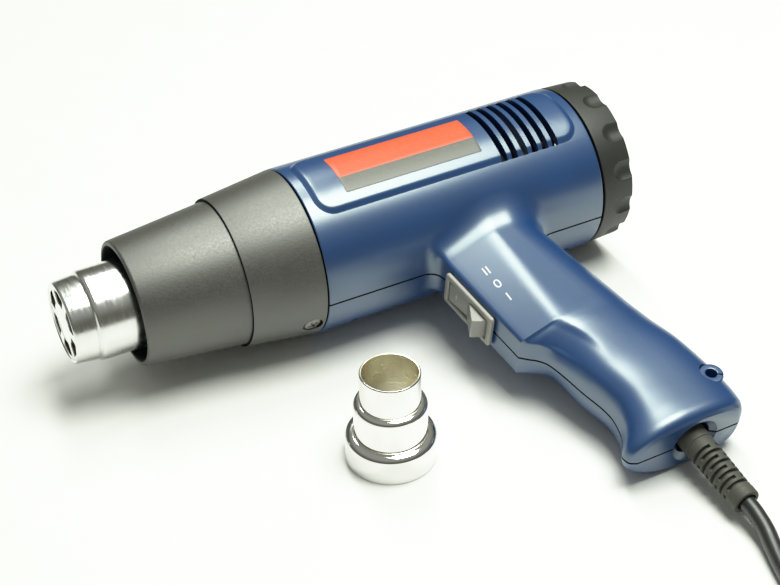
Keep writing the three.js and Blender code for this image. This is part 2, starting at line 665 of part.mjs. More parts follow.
// Outlet: stepped chrome tube with a flange clamped between the sleeve and the housing, and its grille
function addOutlet() {
  const rear = flangeFront + FLANGE;
  const flangeR = GUARD_TUCK_R;
  const bead = 0.9;
  add(tool, 'outlet_nozzle', turned([
    [0, NOZZLE_MOUTH_R - NOZZLE_SHEET],
    [0, NOZZLE_MOUTH_R - NOZZLE_SHEET / 2],
    [bead, NOZZLE_MOUTH_R],
    [NOZZLE_STEP_X - bead, NOZZLE_MOUTH_R],
    [NOZZLE_STEP_X, NOZZLE_R],
    [flangeFront, NOZZLE_R],
    [flangeFront, flangeR],
    [rear, flangeR],
    [rear, NOZZLE_R - NOZZLE_SHEET],
    [NOZZLE_STEP_X + bead, NOZZLE_R - NOZZLE_SHEET],
    [NOZZLE_STEP_X, NOZZLE_MOUTH_R - NOZZLE_SHEET],
  ], MID_SIDES), chrome);
  const { front, thick, hubR, openR, spoke, openings } = GRILLE;
  const disc = new THREE.Shape().absarc(0, 0, NOZZLE_MOUTH_R - NOZZLE_SHEET - FIT, 0, 2 * Math.PI);
  for (let k = 0; k < openings; k += 1) {
    const mid = (2 * Math.PI * k) / openings;
    const half = Math.PI / openings;
    const a = half - spoke / 2 / hubR;
    const b = half - spoke / 2 / openR;
    const hole = new THREE.Path();
    hole.absarc(0, 0, openR, mid - b, mid + b);
    hole.absarc(0, 0, hubR, mid + a, mid - a, true);
    disc.holes.push(hole);
  }
  const grille = plate(disc, thick).rotateY(Math.PI / 2).translate(front, 0, 0);
  add(tool, 'outlet_grille', grille, chrome);
}

// Heater: mica tube round a ceramic cross with its wire, on a mount ring in the housing's spigot
function addHeater() {
  const micaR = NOZZLE_R - NOZZLE_SHEET - FIT;
  const micaRear = mountFront - FIT;
  add(tool, 'mica_tube', turned([
    [MICA_FRONT_X, micaR - MICA_WALL],
    [MICA_FRONT_X, micaR],
    [micaRear, micaR],
    [micaRear, micaR - MICA_WALL],
  ], MID_SIDES), mica);
  const { half, thick, setback } = VANE;
  const front = MICA_FRONT_X + setback;
  const flat = solid(block(front, micaRear, -half, half, -thick / 2, thick / 2));
  const upright = solid(block(front, micaRear, -thick / 2, thick / 2, -half, half));
  add(tool, 'heater_core', flat.add(upright), ceramic);
  const steps = CURL_STEPS;
  const coilR = Math.hypot(half, thick / 2) + FIT + WIRE.r;
  const points = Array.from({ length: WIRE.turns * steps + 1 }, (_, i) => {
    const a = (2 * Math.PI * i) / steps;
    const outer = coilR / Math.cos(Math.PI / steps);
    return new THREE.Vector3(
      front + WIRE.setback + (WIRE.pitch * i) / steps, outer * Math.cos(a), outer * Math.sin(a));
  });
  console.log('heater wire least gap to itself, mm', selfGap(points, WIRE.r, steps - 1).toFixed(2));
  add(tool, 'heater_wire', tube(points, WIRE.r, CURL_SIDES, new THREE.Vector3(1, 0, 0)), steel);
  const mountR = spigotR(mountFront) - SPIGOT_WALL - FIT;
  const mountRear = mountFront + HEATER_MOUNT;
  const disc = solid(rodX(mountR, mountFront, mountRear, 0, 0, MID_SIDES));
  const holes = Array.from({ length: MOUNT_HOLE.count }, (_, k) => {
    const a = (2 * Math.PI * (k + 0.5)) / MOUNT_HOLE.count;
    const [y, z] = [MOUNT_HOLE.ringR * Math.cos(a), MOUNT_HOLE.ringR * Math.sin(a)];
    return solid(rodX(MOUNT_HOLE.r, mountFront - 1, mountRear + 1, y, z));
  });
  holes.push(solid(rodX(VANE.half * 0.6, mountFront - 1, mountRear + 1)));
  add(tool, 'heater_mount', cut(disc, holes), mica);
  const rear = mountRear + FIT;
  add(tool, 'thermal_cutout', block(
    rear, rear + CUTOUT.x, CUTOUT.offset, CUTOUT.offset + CUTOUT.y, -CUTOUT.z / 2, CUTOUT.z / 2), steel);
}

// Motor in its frame, with the rectifier board in front and the fan behind
function addMotor() {
  const tubeR = MOTOR.r + FIT + MOTOR_FRAME.tubeWall;
  const { length, setback, flange, hole, holes, holeRing } = MOTOR_FRAME;
  const rear = MOTOR.rear - setback;
  const front = rear - length;
  const flangeR = barrelR(front) - WALL - FIT;
  const frame = solid(turned([
    [front, MOTOR.r + FIT],
    [front, tubeR],
    [rear - flange, tubeR],
    [rear - flange, flangeR],
    [rear, flangeR],
    [rear, MOTOR.r + FIT],
  ], MID_SIDES));
  const airHoles = Array.from({ length: holes }, (_, k) => {
    const a = (2 * Math.PI * (k + 0.5)) / holes;
    const [y, z] = [holeRing * Math.cos(a), holeRing * Math.sin(a)];
    return solid(rodX(hole, rear - 2 * flange, rear + flange, y, z));
  });
  add(tool, 'motor_frame', cut(frame, airHoles), blackPlastic);
  const bearing = solid(rodX(SHAFT_R + FIT, MOTOR.rear - SHAFT_IN_MOTOR - FIT, MOTOR.rear + 1));
  const can = solid(rodX(MOTOR.r, MOTOR.front, MOTOR.rear, 0, 0, MID_SIDES));
  add(tool, 'motor_can', can.subtract(bearing), steel);
  const boardRear = MOTOR.front - FIT;
  const boardFront = boardRear - BOARD.thick;
  add(tool, 'rectifier_board', rodX(BOARD.r, boardFront, boardRear, 0, 0, MID_SIDES), boardGreen);
  const capRear = boardFront - FIT;
  add(tool, 'suppressor_capacitor', block(
    capRear - CAPACITOR.x, capRear, -CAPACITOR.y / 2, CAPACITOR.y / 2, 0, CAPACITOR.z), brass);
  const fanRear = FAN.front + FAN.length;
  add(tool, 'motor_shaft', rodX(SHAFT_R, MOTOR.rear - SHAFT_IN_MOTOR, fanRear + SHAFT_PAST_FAN), steel);
  const hub = solid(rodX(FAN.hubR, FAN.front, fanRear, 0, 0, MID_SIDES));
  const blades = Array.from({ length: FAN.blades }, (_, k) => {
    const [long, thick] = [FAN.chord / 2, FAN.blade / 2];
    const blade = block(-long, long, FAN.hubR - FAN.rootSink, FAN.tipR, -thick, thick);
    blade.rotateY(deg(FAN.pitchDeg)).translate((FAN.front + fanRear) / 2, 0, 0);
    return solid(blade.rotateX((2 * Math.PI * k) / FAN.blades));
  });
  const bore = solid(rodX(SHAFT_R + FIT, FAN.front - 1, fanRear + 1));
  add(tool, 'fan_impeller', join([hub, ...blades]).subtract(bore), blackPlastic);
}

// Rear cap with finger scallops and an inlet grille, and the dust screen inside it
function addRearCap() {
  const front = BARREL_REAR_X + CAP_LINE;
  const seatR = REAR_SPIGOT_R + FIT;
  const innerRear = CAP_REAR_X - CAP_WALL;
  const screenR = seatR - 2;
  const ring = solid(turned([
    [front, seatR],
    [front, CAP_R],
    [CAP_REAR_X - CAP_EDGE, CAP_REAR_R],
    [CAP_REAR_X, CAP_REAR_R - CAP_EDGE],
    [CAP_REAR_X, 0],
    [innerRear, 0],
    [innerRear, screenR],
    [spigotRear + FIT, screenR],
    [spigotRear + FIT, seatR],
  ]));
  const scallops = Array.from({ length: SCALLOP.count }, (_, k) => {
    const a = deg(SCALLOP.offsetDeg) + (2 * Math.PI * k) / SCALLOP.count;
    const away = CAP_R + SCALLOP.r - SCALLOP.depth;
    const dish = rodX(SCALLOP.r, CAP_REAR_X - SCALLOP.length, CAP_REAR_X + 1, away, 0, SCALLOP.sides);
    return solid(dish.rotateX(a));
  });
  const { slots, innerR, outerR, width } = INLET;
  const openings = Array.from({ length: slots }, (_, k) => {
    const slot = block(innerRear - 1, CAP_REAR_X + 1, innerR, outerR, -width / 2, width / 2);
    return solid(slot.rotateX((2 * Math.PI * k) / slots));
  });
  add(tool, 'rear_cap', cut(ring, [...scallops, ...openings]), greyPlastic);
  const plateR = screenR - SCREEN.edge;
  const disc = new THREE.Shape().absarc(0, 0, plateR, 0, 2 * Math.PI);
  for (let i = 1; i <= SCREEN.rings; i += 1) {
    const ringR = ((plateR - SCREEN.rim - SCREEN.holeR) * i) / SCREEN.rings;
    const count = SCREEN.perRing * i;
    for (let k = 0; k < count; k += 1) {
      const a = (2 * Math.PI * k) / count;
      const hole = new THREE.Path();
      hole.absarc(ringR * Math.cos(a), ringR * Math.sin(a), SCREEN.holeR, 0, 2 * Math.PI);
      disc.holes.push(hole);
    }
  }
  const screen = plate(disc, SCREEN.thick).rotateY(Math.PI / 2);
  add(tool, 'inlet_screen', screen.translate(innerRear - FIT - SCREEN.thick, 0, 0), steel);
}

// Rocker switch: frame with a well, rocker on trunnions and three terminals; stored with one end pressed
function addSwitch() {
  const { halfLength, halfWidth, depth } = SWITCH_BODY;
  const bezelBack = -FIT;
  const [long, wide] = [BEZEL.halfLength, BEZEL.halfWidth];
  const bezel = solid(block(bezelBack - BEZEL.thick, bezelBack, -long, long, -wide, wide));
  const body = solid(block(bezelBack - 1, depth, -halfLength, halfLength, -halfWidth, halfWidth));
  const wellHalf = ROCKER.endR + FIT;
  const wellWide = ROCKER.halfWidth + FIT;
  const open = -BEZEL.thick - ROCKER_WELL;
  const well = solid(block(open, ROCKER_WELL, -wellHalf, wellHalf, -wellWide, wellWide));
  const pin = solid(rodZ(TRUNNION_R + FIT, -TRUNNION_END - FIT, TRUNNION_END + FIT, ROCKER.pivotDepth, 0));
  add(switchPlace, 'switch_body', cut(bezel.add(body), [well, pin]), blackPlastic);
  const [top, low] = [deg(ROCKER.topDeg), deg(ROCKER.bottomDeg)];
  const side = new THREE.Shape();
  side.moveTo(0, ROCKER.valley);
  side.absarc(0, 0, ROCKER.endR, Math.PI - top, Math.PI - low);
  side.absarc(0, 0, ROCKER.endR, low, top);
  const rocker = new THREE.ExtrudeGeometry(side, {
    depth: 2 * ROCKER.halfWidth, bevelEnabled: false, curveSegments: 6,
  });
  rocker.translate(0, 0, -ROCKER.halfWidth).rotateZ(Math.PI / 2);
  const trunnion = rodZ(TRUNNION_R, -TRUNNION_END, TRUNNION_END, 0, 0);
  const mesh = add(switchPlace, 'switch_rocker', solid(rocker).add(solid(trunnion)), greyPlastic);
  mesh.position.x = ROCKER.pivotDepth;
  mesh.rotation.z = deg(-ROCKER_THROW_DEG);
  const { width, thick, length, pitch } = TERMINAL;
  [-1, 0, 1].forEach((k, i) => {
    const tab = block(
      depth + FIT, depth + FIT + length, k * pitch - thick / 2, k * pitch + thick / 2, -width / 2, width / 2);
    add(switchPlace, `switch_terminal_${i + 1}`, tab, brass);
  });
}

// Where the cord comes in: ribbed strain relief, inner stub under its clamp, leads to the switch
function addCordEntry() {
  const { rootR, tipR, length, neckR, flangeR, flange, ribs } = RELIEF;
  const inner = -BUTT_D + WALL + FIT + flange;
  const root0 = -BUTT_D + EXIT_DISH - FIT;
  const tip = -BUTT_D - length;
  const section = [[0, inner], [flangeR, inner], [flangeR, inner - flange]];
  section.push([neckR, inner - flange], [neckR, root0]);
  const step = (root0 - tip) / (2 * ribs + 1);
  for (let k = 0; k <= 2 * ribs; k += 1) {
    const groove = k % 2 === 1 ? 1.1 : 0;
    const y0 = root0 - k * step;
    const at = (y) => along(y, root0, rootR, tip, tipR) - groove;
    section.push([at(y0), y0], [at(y0 - step), y0 - step]);
  }
  section.push([0, tip]);
  const profile = [...section, section[0]].map(([r, y]) => new THREE.Vector2(r, y));
  const relief = new THREE.LatheGeometry(profile, RELIEF_SIDES).translate(CORD_X, 0, 0);
  add(tool, 'strain_relief', solid(relief), greyPlastic);
  add(tool, 'cord_inner_end', rodY(CORD_R, inner + FIT, -CORD_STUB_D, CORD_X, 0, CORD_SIDES), cordBlack);
  const low = CORD_R + 2 * FIT;
  const strap = solid(block(
    CORD_X - CLAMP.length / 2, CORD_X + CLAMP.length / 2,
    -CLAMP.d - CLAMP.width / 2, -CLAMP.d + CLAMP.width / 2, low, low + CLAMP.thick));
  const sides = [-1, 1];
  const screwX = (k) => CORD_X + k * CLAMP.spread;
  const holes = sides.map((k) =>
    solid(rodZ(CLAMP_SCREW.shankR + FIT, low - 1, low + CLAMP.thick + 1, screwX(k), -CLAMP.d)));
  add(tool, 'cord_clamp', cut(strap, holes), blackPlastic);
  sides.forEach((k, i) => {
    const seat = low + CLAMP.thick + FIT;
    const { headR, head, shankR, length: long } = CLAMP_SCREW;
    const screw = solid(rodZ(headR, seat, seat + head, screwX(k), -CLAMP.d))
      .add(solid(rodZ(shankR, seat - long, seat + 0.5, screwX(k), -CLAMP.d)));
    add(tool, `clamp_screw_${i + 1}`, screw, steel);
  });
  const tabEnd = SWITCH_BODY.depth + FIT + TERMINAL.length + FIT;
  LEADS.forEach(({ side, via, reach }, i) => {
    const start = new THREE.Vector3(CORD_X + side * LEAD_SPREAD, -CORD_STUB_D + FIT, 0);
    const end = new THREE.Vector3(tabEnd, side * TERMINAL.pitch, 0).applyMatrix4(switchPlace.matrix);
    const path = [
      start,
      start.clone().add(new THREE.Vector3(0, 3 * LEAD_R, 0)),
      ...via.map(([back, above]) => new THREE.Vector3(CORD_X - back, above - CORD_STUB_D, 0)),
      end.clone().add(new THREE.Vector3(reach, 0, 0)),
      end,
    ];
    add(tool, `inner_lead_${i + 1}`, solid(cordTube(path, LEAD_R, LEAD_STEPS)), cordBlack);
  });
  const { x, d, outerR, boreR, bottom, top, slit, slitDeg } = EYELET;
  const ring = solid(rodZ(outerR, bottom, top, x, -d, MID_SIDES));
  const bore = solid(rodZ(boreR, bottom - 1, top + 1, x, -d, SMALL_SIDES));
  const gap = solid(block(x, x + 2 * outerR, -d - slit / 2, -d + slit / 2, bottom - 1, top + 1)
    .translate(-x, d, 0).rotateZ(deg(slitDeg)).translate(x, -d, 0));
  add(tool, 'hanging_eyelet', cut(ring, [bore, gap]), bluePlastic);
}

// Reducer: three thin-walled tiers with rounded shoulders; its foot slips over the outlet's mouth
function addReducer() {
  const { x, y, height, sheet, topR, midR, tuck } = REDUCER;
  const footR = NOZZLE_MOUTH_R + REDUCER_SLIDE + sheet;
  const outside = [
    [footR, 0],
    [footR, REDUCER_TIER_1 - tuck - REDUCER_BEAD],
    [footR - tuck / 2, REDUCER_TIER_1 - tuck / 2],
    [midR + tuck / 2, REDUCER_TIER_1],
    [midR, REDUCER_TIER_1 + tuck],
    [midR, REDUCER_TIER_2 - tuck],
    [midR - tuck / 2, REDUCER_TIER_2 - tuck / 3],
    [topR, REDUCER_TIER_2 + tuck / 2],
    [topR, height],
  ];
  const inside = [
    [topR - sheet, height],
    [topR - sheet, REDUCER_TIER_2 - sheet],
    [midR - sheet, REDUCER_TIER_2 - tuck - sheet],
    [midR - sheet, REDUCER_TIER_1 - sheet],
    [footR - sheet, REDUCER_TIER_1 - tuck - REDUCER_BEAD - sheet],
    [footR - sheet, 0],
  ];
  const mesh = add(root, 'reducer_nozzle', solid(turnedUpright([...outside, ...inside])), chrome);
  mesh.position.set(x, y, 0);
  return mesh;
}

const points3 = (rows) => rows.map((row) => new THREE.Vector3(...row));

// Coil: spirals in on the table, climbs in the half turn where it reverses, spirals out on top
function coilPoints() {
  const { x, y, pitch: gap, innerR, turnsPerLayer, rise, dip } = COIL;
  const low = TIE.thick + TIE.slack + CORD_R;
  const outerR = innerR + gap * turnsPerLayer;
  const at = (r, turn, z) => {
    const a = Math.PI + 2 * Math.PI * turn;
    return new THREE.Vector3(x + r * Math.cos(a), y + r * Math.sin(a), z);
  };
  const points = [new THREE.Vector3(x - outerR, y + 2 * CORD_R, low)];
  const layerSteps = turnsPerLayer * LOOP_STEPS;
  for (let i = 0; i <= layerSteps; i += 1) {
    points.push(at(outerR - (gap * i) / LOOP_STEPS, i / LOOP_STEPS, low));
  }
  for (let i = 1; i < LOOP_STEPS / 2; i += 1) {
    const t = i / (LOOP_STEPS / 2);
    const height = low + rise * t * t * (3 - 2 * t);
    points.push(at(innerR - dip * Math.sin(Math.PI * t), turnsPerLayer + t / 2, height));
  }
  for (let i = 0; i <= layerSteps; i += 1) {
    points.push(at(innerR + (gap * i) / LOOP_STEPS, turnsPerLayer + 0.5 + i / LOOP_STEPS, low + rise));
  }
  points.push(new THREE.Vector3(x + outerR, y + 2 * CORD_R, low + rise));
  return points;
}

// The tie crosses the bundle where both layers lie at the same radii, a quarter turn from the entry
function addTie() {
  const { pitch: gap, innerR, turnsPerLayer, rise } = COIL;
  const r0 = innerR + gap / 4 - CORD_R - 2 * TIE.slack;
  const r1 = innerR + gap * (turnsPerLayer - 0.75) + CORD_R + 2 * TIE.slack;
  const top = 2 * TIE.slack + 2 * CORD_R + rise;
  const frame = (grow) => block(
    r0 - grow, r1 + grow, -TIE.width / 2, TIE.width / 2, TIE.thick - grow, TIE.thick + top + grow);
  const hole = frame(0).scale(1, 2, 1);
  const band = solid(frame(TIE.thick)).subtract(solid(hole));
  const mesh = add(cord, 'coil_tie', band, blackPlastic);
  mesh.position.set(COIL.x, COIL.y, 0);
  mesh.rotation.z = deg(TIE.atDeg);
}

function addPlug() {
  const height = Math.max(...PLUG_SECTIONS.map((s) => s.halfHeight));
  const rings = PLUG_SECTIONS.map(({ at, halfWidth, halfHeight }) =>
    Array.from({ length: PLUG_SIDES }, (_, k) => {
      const a = (2 * Math.PI * k) / PLUG_SIDES;
      const [across, up] = [halfWidth * Math.cos(a), halfHeight * Math.sin(a)];
      return new THREE.Vector3(PLUG.x + across, PLUG.y + at, height + up);
    }));
  add(cord, 'plug_body', solid(loft(rings)), blackPlastic);
  const face = PLUG.y + PLUG_SECTIONS[PLUG_SECTIONS.length - 1].at + FIT;
  [-1, 1].forEach((side, k) => {
    const pin = rodY(PLUG.pinR, face, face + PLUG.pin, PLUG.x + side * PLUG.pinSpread, height);
    add(cord, `plug_pin_${k + 1}`, pin, steel);
  });
  return height;
}

function addCord() {
  const coil = coilPoints();
  const reliefTip = new THREE.Vector3(CORD_X, -BUTT_D - RELIEF.length - FIT, 0);
  const start = tool.localToWorld(reliefTip.clone());
  const ahead = tool.localToWorld(reliefTip.clone().setY(reliefTip.y - CORD_R));
  cord.position.set(start.x, start.y, 0);
  start.sub(cord.position);
  ahead.sub(cord.position);
  const toCoil = coil[0].clone();
  toCoil.y += FIT;
  const run = [start, ahead, ...points3(CORD_ROUTE), toCoil];
  add(cord, 'cord_run', solid(cordTube(run, CORD_R, RUN_STEPS)), cordBlack);
  console.log('cord coil least gap to itself, mm', selfGap(coil, CORD_R, LOOP_STEPS / 2).toFixed(2));
  add(cord, 'cord_coil', tube(coil, CORD_R, LOOP_SIDES), cordBlack);
  const plugHeight = addPlug();
  const off = coil[coil.length - 1].clone();
  off.y += FIT;
  const tail = [off, ...points3(TAIL_ROUTE), new THREE.Vector3(PLUG.x, PLUG.y - FIT, plugHeight)];
  add(cord, 'cord_tail', solid(cordTube(tail, CORD_R, TAIL_STEPS)), cordBlack);
  addTie();
  const length = (points) => new THREE.CatmullRomCurve3(points).getLength();
  console.log('cord length outside the tool, mm', Math.round(length(run) + length(coil) + length(tail)));
}

// Build the tool
addHousing();
const guardBores = addGuard();
addOutlet();
addHeater();
addMotor();
addRearCap();
addSwitch();
addCordEntry();

// The guard screws bite into the housing's front spigot
['upper_housing', 'lower_housing'].forEach((name) => {
  const shell = tool.getObjectByName(name);
  shell.geometry = toGeometry(cut(solid(shell.geometry), guardBores));
});

// Lying pose: the lower panel sets the pitch, the butt sets the roll
const bellyR = barrelR(PANEL_FRONT_X) + PANEL_RAISE;
const pitch = Math.atan2(BARREL_TAPER, BARREL_LENGTH);
const axisHeight = bellyR * Math.cos(pitch) - PANEL_FRONT_X * Math.sin(pitch);
const heelX = (HEEL.front + HEEL.rear) / 2;
const heelDrop = (axisHeight + heelX * Math.sin(pitch)) / Math.cos(pitch);
const roll = Math.asin(heelDrop / Math.hypot(HEEL.d, HEEL.half)) - Math.atan2(HEEL.half, HEEL.d);
lying.rotation.y = -pitch;
lying.position.z = axisHeight;
tool.rotation.x = roll;

// Origin at the middle of the object's footprint, on the table
root.updateMatrixWorld(true);
const extent = new THREE.Box3().setFromObject(root, true);
addReducer().position.z = extent.min.z;
const middle = extent.getCenter(new THREE.Vector3());
root.position.set(-middle.x, -middle.y, -extent.min.z);

// Free cord in the finished frame: run, coil with its tie, tail and plug
const object = new THREE.Group();
const cord = new THREE.Group();
object.add(root, cord);
root.updateMatrixWorld(true);
addCord();

export default object;
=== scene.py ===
"""Hot air tool lying on its side with its reducer nozzle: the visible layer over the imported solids."""
import json
import math

import bmesh
import bpy
from bpy.props import FloatProperty, FloatVectorProperty, PointerProperty
from bpy.types import Operator, Panel, PropertyGroup
from mathutils import Matrix, Vector


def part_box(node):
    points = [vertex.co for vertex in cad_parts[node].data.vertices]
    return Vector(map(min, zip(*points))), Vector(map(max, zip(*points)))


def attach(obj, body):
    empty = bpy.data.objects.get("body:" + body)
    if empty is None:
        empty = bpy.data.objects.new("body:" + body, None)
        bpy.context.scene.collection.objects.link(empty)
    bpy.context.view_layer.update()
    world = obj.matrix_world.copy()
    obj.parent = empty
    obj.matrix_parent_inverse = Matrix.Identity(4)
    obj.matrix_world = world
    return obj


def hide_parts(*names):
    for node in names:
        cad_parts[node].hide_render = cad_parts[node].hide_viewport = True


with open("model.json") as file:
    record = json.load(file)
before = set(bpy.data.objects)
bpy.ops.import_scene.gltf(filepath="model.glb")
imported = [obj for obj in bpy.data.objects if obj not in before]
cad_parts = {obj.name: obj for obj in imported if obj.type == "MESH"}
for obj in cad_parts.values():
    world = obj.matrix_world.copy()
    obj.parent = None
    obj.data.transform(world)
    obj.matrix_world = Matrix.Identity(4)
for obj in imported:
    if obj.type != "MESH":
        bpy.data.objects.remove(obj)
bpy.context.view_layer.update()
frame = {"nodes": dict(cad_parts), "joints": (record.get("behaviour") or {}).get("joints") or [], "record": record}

bl_info = {
    "name": "Hot Air Tool",
    "version": (1, 0, 0),
    "blender": (4, 5, 0),
    "location": "View3D > Sidebar > Hot Air Tool",
    "description": "Builds the hot air tool, its reducer nozzle and their stage on the packed frame",
    "category": "Object",
}

# The tool's own frame: X from the outlet's mouth to the rear, the handle towards -Y, the seam at z = 0.
# Shapes are drawn in millimetres and set into the row frame by TOOL or TABLE.
FAN_AXIS = next(j for j in frame["joints"] if j["name"] == "fan_spin")
ROCKER_AXIS = next(j for j in frame["joints"] if j["name"] == "switch_rock")
ALONG = Vector(FAN_AXIS["axis"]).normalized()
SEAM_UP = Vector(ROCKER_AXIS["axis"]).normalized()
MM = Matrix.Scale(0.001, 4)
TABLE = MM
TOOL = (
    Matrix.Translation(FAN_AXIS["pos_m"])
    @ Matrix((ALONG, SEAM_UP.cross(ALONG), SEAM_UP)).transposed().to_4x4()
    @ MM
)

# Stations along the barrel and radii there
GUARD_FRONT, COLLAR_FRONT, BARREL_FRONT, BARREL_REAR, CAP_REAR = 26.6, 70.2, 102.9, 238.5, 255.0
GUARD_FRONT_R, GUARD_STEP_R, COLLAR_FRONT_R, BARREL_FRONT_R, BARREL_REAR_R = 26.9, 31.4, 32.6, 36.6, 37.2
CAP_R, CAP_REAR_R = 37.0, 36.4
# The barrel's wall, and its spigots under the collar and the cap
WALL, SPIGOT_FRONT, SPIGOT_REAR, REAR_SPIGOT_R, REAR_SPIGOT_BORE = 2.5, 87.0, 245.5, 32.6, 30.4
NOZZLE_MOUTH_R, NOZZLE_R, NOZZLE_STEP = 17.5, 19.3, 10.0

# Handle stations: distance below the barrel's axis, rear edge, half thickness
HANDLE = [
    (24, 200.4, 18.0), (50, 205.6, 17.5), (93.5, 214.2, 17.2), (98.6, 215.5, 17), (107, 217.6, 16.8),
    (122.5, 220.4, 16.4), (139.5, 222.9, 15.9), (148.5, 223.8, 15.7), (153.5, 224.1, 15.6), (158.5, 223.9, 15.4),
    (161.5, 222.6, 14.3), (163.2, 220, 11.9),
]
# Front edge: the switch block, then the step and the grip below it
BLOCK_FRONT = [(24, 152.6), (50, 155), (95.5, 159.2)]
GRIP_FRONT = [
    (95.5, 159.2), (98.2, 162.4), (100.3, 165.2), (103.8, 168), (108.6, 169.6), (122.5, 172.4), (139.5, 175.7),
    (148.5, 174.1), (153.5, 171.5), (158.5, 168.2), (161.5, 169), (163.2, 172),
]
# Ridge above the switch, which runs on as the grip's shoulder
RIDGE = [
    (24, 177.6), (50, 177.4), (95.5, 176.6), (99, 177.8), (103, 179.9), (108, 182), (114.5, 183.7), (122.5, 184.9),
    (139.5, 186.3), (158.5, 187.2), (163.2, 190),
]
BLOCK_END, FACE_HALF, REAR_ROUND = 95.5, 9.5, 17.0
BUTT = HANDLE[-1][0]
# Depths of the section that flares onto the barrel, and where the block starts to turn into the grip
FLARE_D, TURN_D, TURN_LENGTH = 44, 80, 40
# Finger hollow under the block: its sink, its length and its reach round the section
HOLLOW, HOLLOW_LENGTH, HOLLOW_LOW, HOLLOW_HIGH = 0.7, 26, 0.16, 0.41
# Shares of the way round a section from front to rear: the front face's edge, the ridge, the rear round
FACE_SHARE, RIDGE_SHARE, TOP_SHARE = 0.2, 0.4, 0.6
FACE_SLOPE = math.atan2(159 - 155, 93.5 - 50)
SWITCH = Matrix.Translation((156.15, -62.5, 0)) @ Matrix.Rotation(FACE_SLOPE, 4, "Z")
CORD_X, RELIEF_LENGTH = 199.2, 34.0
EYELET_X, EYELET_D = 217.2, 145.2
EYELET_R, EYELET_BORE, EYELET_TOP = 5.05, 2.3, 13.0
SLOT_FIRST, SLOT_PITCH, SLOT_HALF, SLOT_COUNT = 195.3, 5.15, 1.5, 6
PANEL_FRONT, PANEL_REAR, PANEL_CORNER = 107.1, 234.3, 8.0
LABEL_FRONT, LABEL_R = 122.0, 38.6
SCREW_PLACES = [(118, 28.6), (226, 28.6), (118, -28.6), (226, -28.6), (197, -60), (201, -108), (184.7, -150)]


def along(x, x0, r0, x1, r1):
    """Straight taper through two stations."""
    return r0 + (x - x0) / (x1 - x0) * (r1 - r0)


def collar_r(x):
    """Outside radius of the guard's collar."""
    return along(x, COLLAR_FRONT, COLLAR_FRONT_R, BARREL_FRONT, BARREL_FRONT_R)


def barrel_r(x):
    """Outside radius of the barrel."""
    return along(x, BARREL_FRONT, BARREL_FRONT_R, BARREL_REAR, BARREL_REAR_R)


def length(name, description, value):
    """Length property with its default in metres."""
    return FloatProperty(name=name, description=description, default=value, unit="LENGTH")


class HotAirSizes(PropertyGroup):
    """Sizes that a user would change."""

    seam_gap: length("Seam gap", "Open line between the housing halves", 0.0009)
    handle_fillet: length("Handle fillet", "Round where the handle meets the barrel", 0.008)
    panel_raise: length("Panel height", "Height of the raised side panels", 0.0012)
    panel_width: length("Panel width", "Width of the raised side panels", 0.036)
    label_length: length("Label length", "Length of the two bare label bands", 0.065)
    cord_diameter: length("Cord diameter", "Outside diameter of the mains cord", 0.007)
    floor_side: length("Floor side", "Side of the square floor", 7.0)


def colour(name, description, value):
    """Colour property with its default in linear light."""
    return FloatVectorProperty(
        name=name, description=description, default=value, subtype="COLOR", size=3, min=0, max=1)


class HotAirColours(PropertyGroup):
    """Colours that a user would change."""

    housing: colour("Housing", "Blue plastic of the housing and the eyelet", (0.007, 0.046, 0.168))
    guard: colour("Heat guard", "Grey plastic of the guard", (0.033, 0.0325, 0.029))
    cap: colour("Rear cap", "Grey plastic of the rear cap", (0.02, 0.0205, 0.0175))
    switch: colour("Switch", "Plastic of the switch frame and rocker", (0.3, 0.295, 0.27))
    relief: colour("Strain relief", "Soft plastic of the cord's sleeve", (0.065, 0.064, 0.053))
    band_upper: colour("Upper label band", "Warm label band on the side panel", (0.825, 0.112, 0.045))
    band_lower: colour("Lower label band", "Grey label band on the side panel", (0.158, 0.158, 0.143))
    cord: colour("Cord", "Sheath of the cord and the plug", (0.018, 0.018, 0.019))
    floor: colour("Floor", "Table top", (0.9, 0.9, 0.89))


def size(name):
    """A size property in millimetres."""
    return getattr(bpy.context.scene.hot_air_sizes, name) * 1000


def tint(name):
    """A colour property."""
    return tuple(getattr(bpy.context.scene.hot_air_colours, name))


# Finishes

def blank_finish(name):
    """Material with its shader and its Object coordinates."""
    old = bpy.data.materials.get(name)
    if old:
        bpy.data.materials.remove(old)
    mat = bpy.data.materials.new(name)
    mat.use_nodes = True
    nodes = mat.node_tree.nodes
    return mat, nodes["Principled BSDF"], nodes.new("ShaderNodeTexCoord")


def new_node(mat, kind, **inputs):
    """New node of a finish with some inputs set, their names written with underscores."""
    made = mat.node_tree.nodes.new(kind)
    for name, value in inputs.items():
        made.inputs[name.replace("_", " ")].default_value = value
    return made


def noise(mat, coord, scale, detail, stretch=None):
    """Noise at a scale per metre, stretched along an axis where the finish has a direction."""
    links = mat.node_tree.links
    source = coord.outputs["Object"]
    if stretch:
        mapping = new_node(mat, "ShaderNodeMapping", Scale=stretch)
        links.new(source, mapping.inputs["Vector"])
        source = mapping.outputs["Vector"]
    tex = new_node(mat, "ShaderNodeTexNoise", Scale=scale, Detail=detail)
    links.new(source, tex.inputs["Vector"])
    return tex.outputs["Fac"]


def mixed(mat, factor, dark, light):
    """Colour that goes from dark to light with a noise."""
    ramp = new_node(mat, "ShaderNodeValToRGB")
    low, high = ramp.color_ramp.elements
    low.position, low.color = 0.35, (*dark, 1)
    high.position, high.color = 0.65, (*light, 1)
    mat.node_tree.links.new(factor, ramp.inputs["Fac"])
    return ramp.outputs["Color"]


def ranged(mat, factor, low, high):
    """Number that goes from low to high with a noise."""
    reach = new_node(mat, "ShaderNodeMapRange", From_Min=0.3, From_Max=0.7, To_Min=low, To_Max=high)
    mat.node_tree.links.new(factor, reach.inputs["Value"])
    return reach.outputs["Result"]


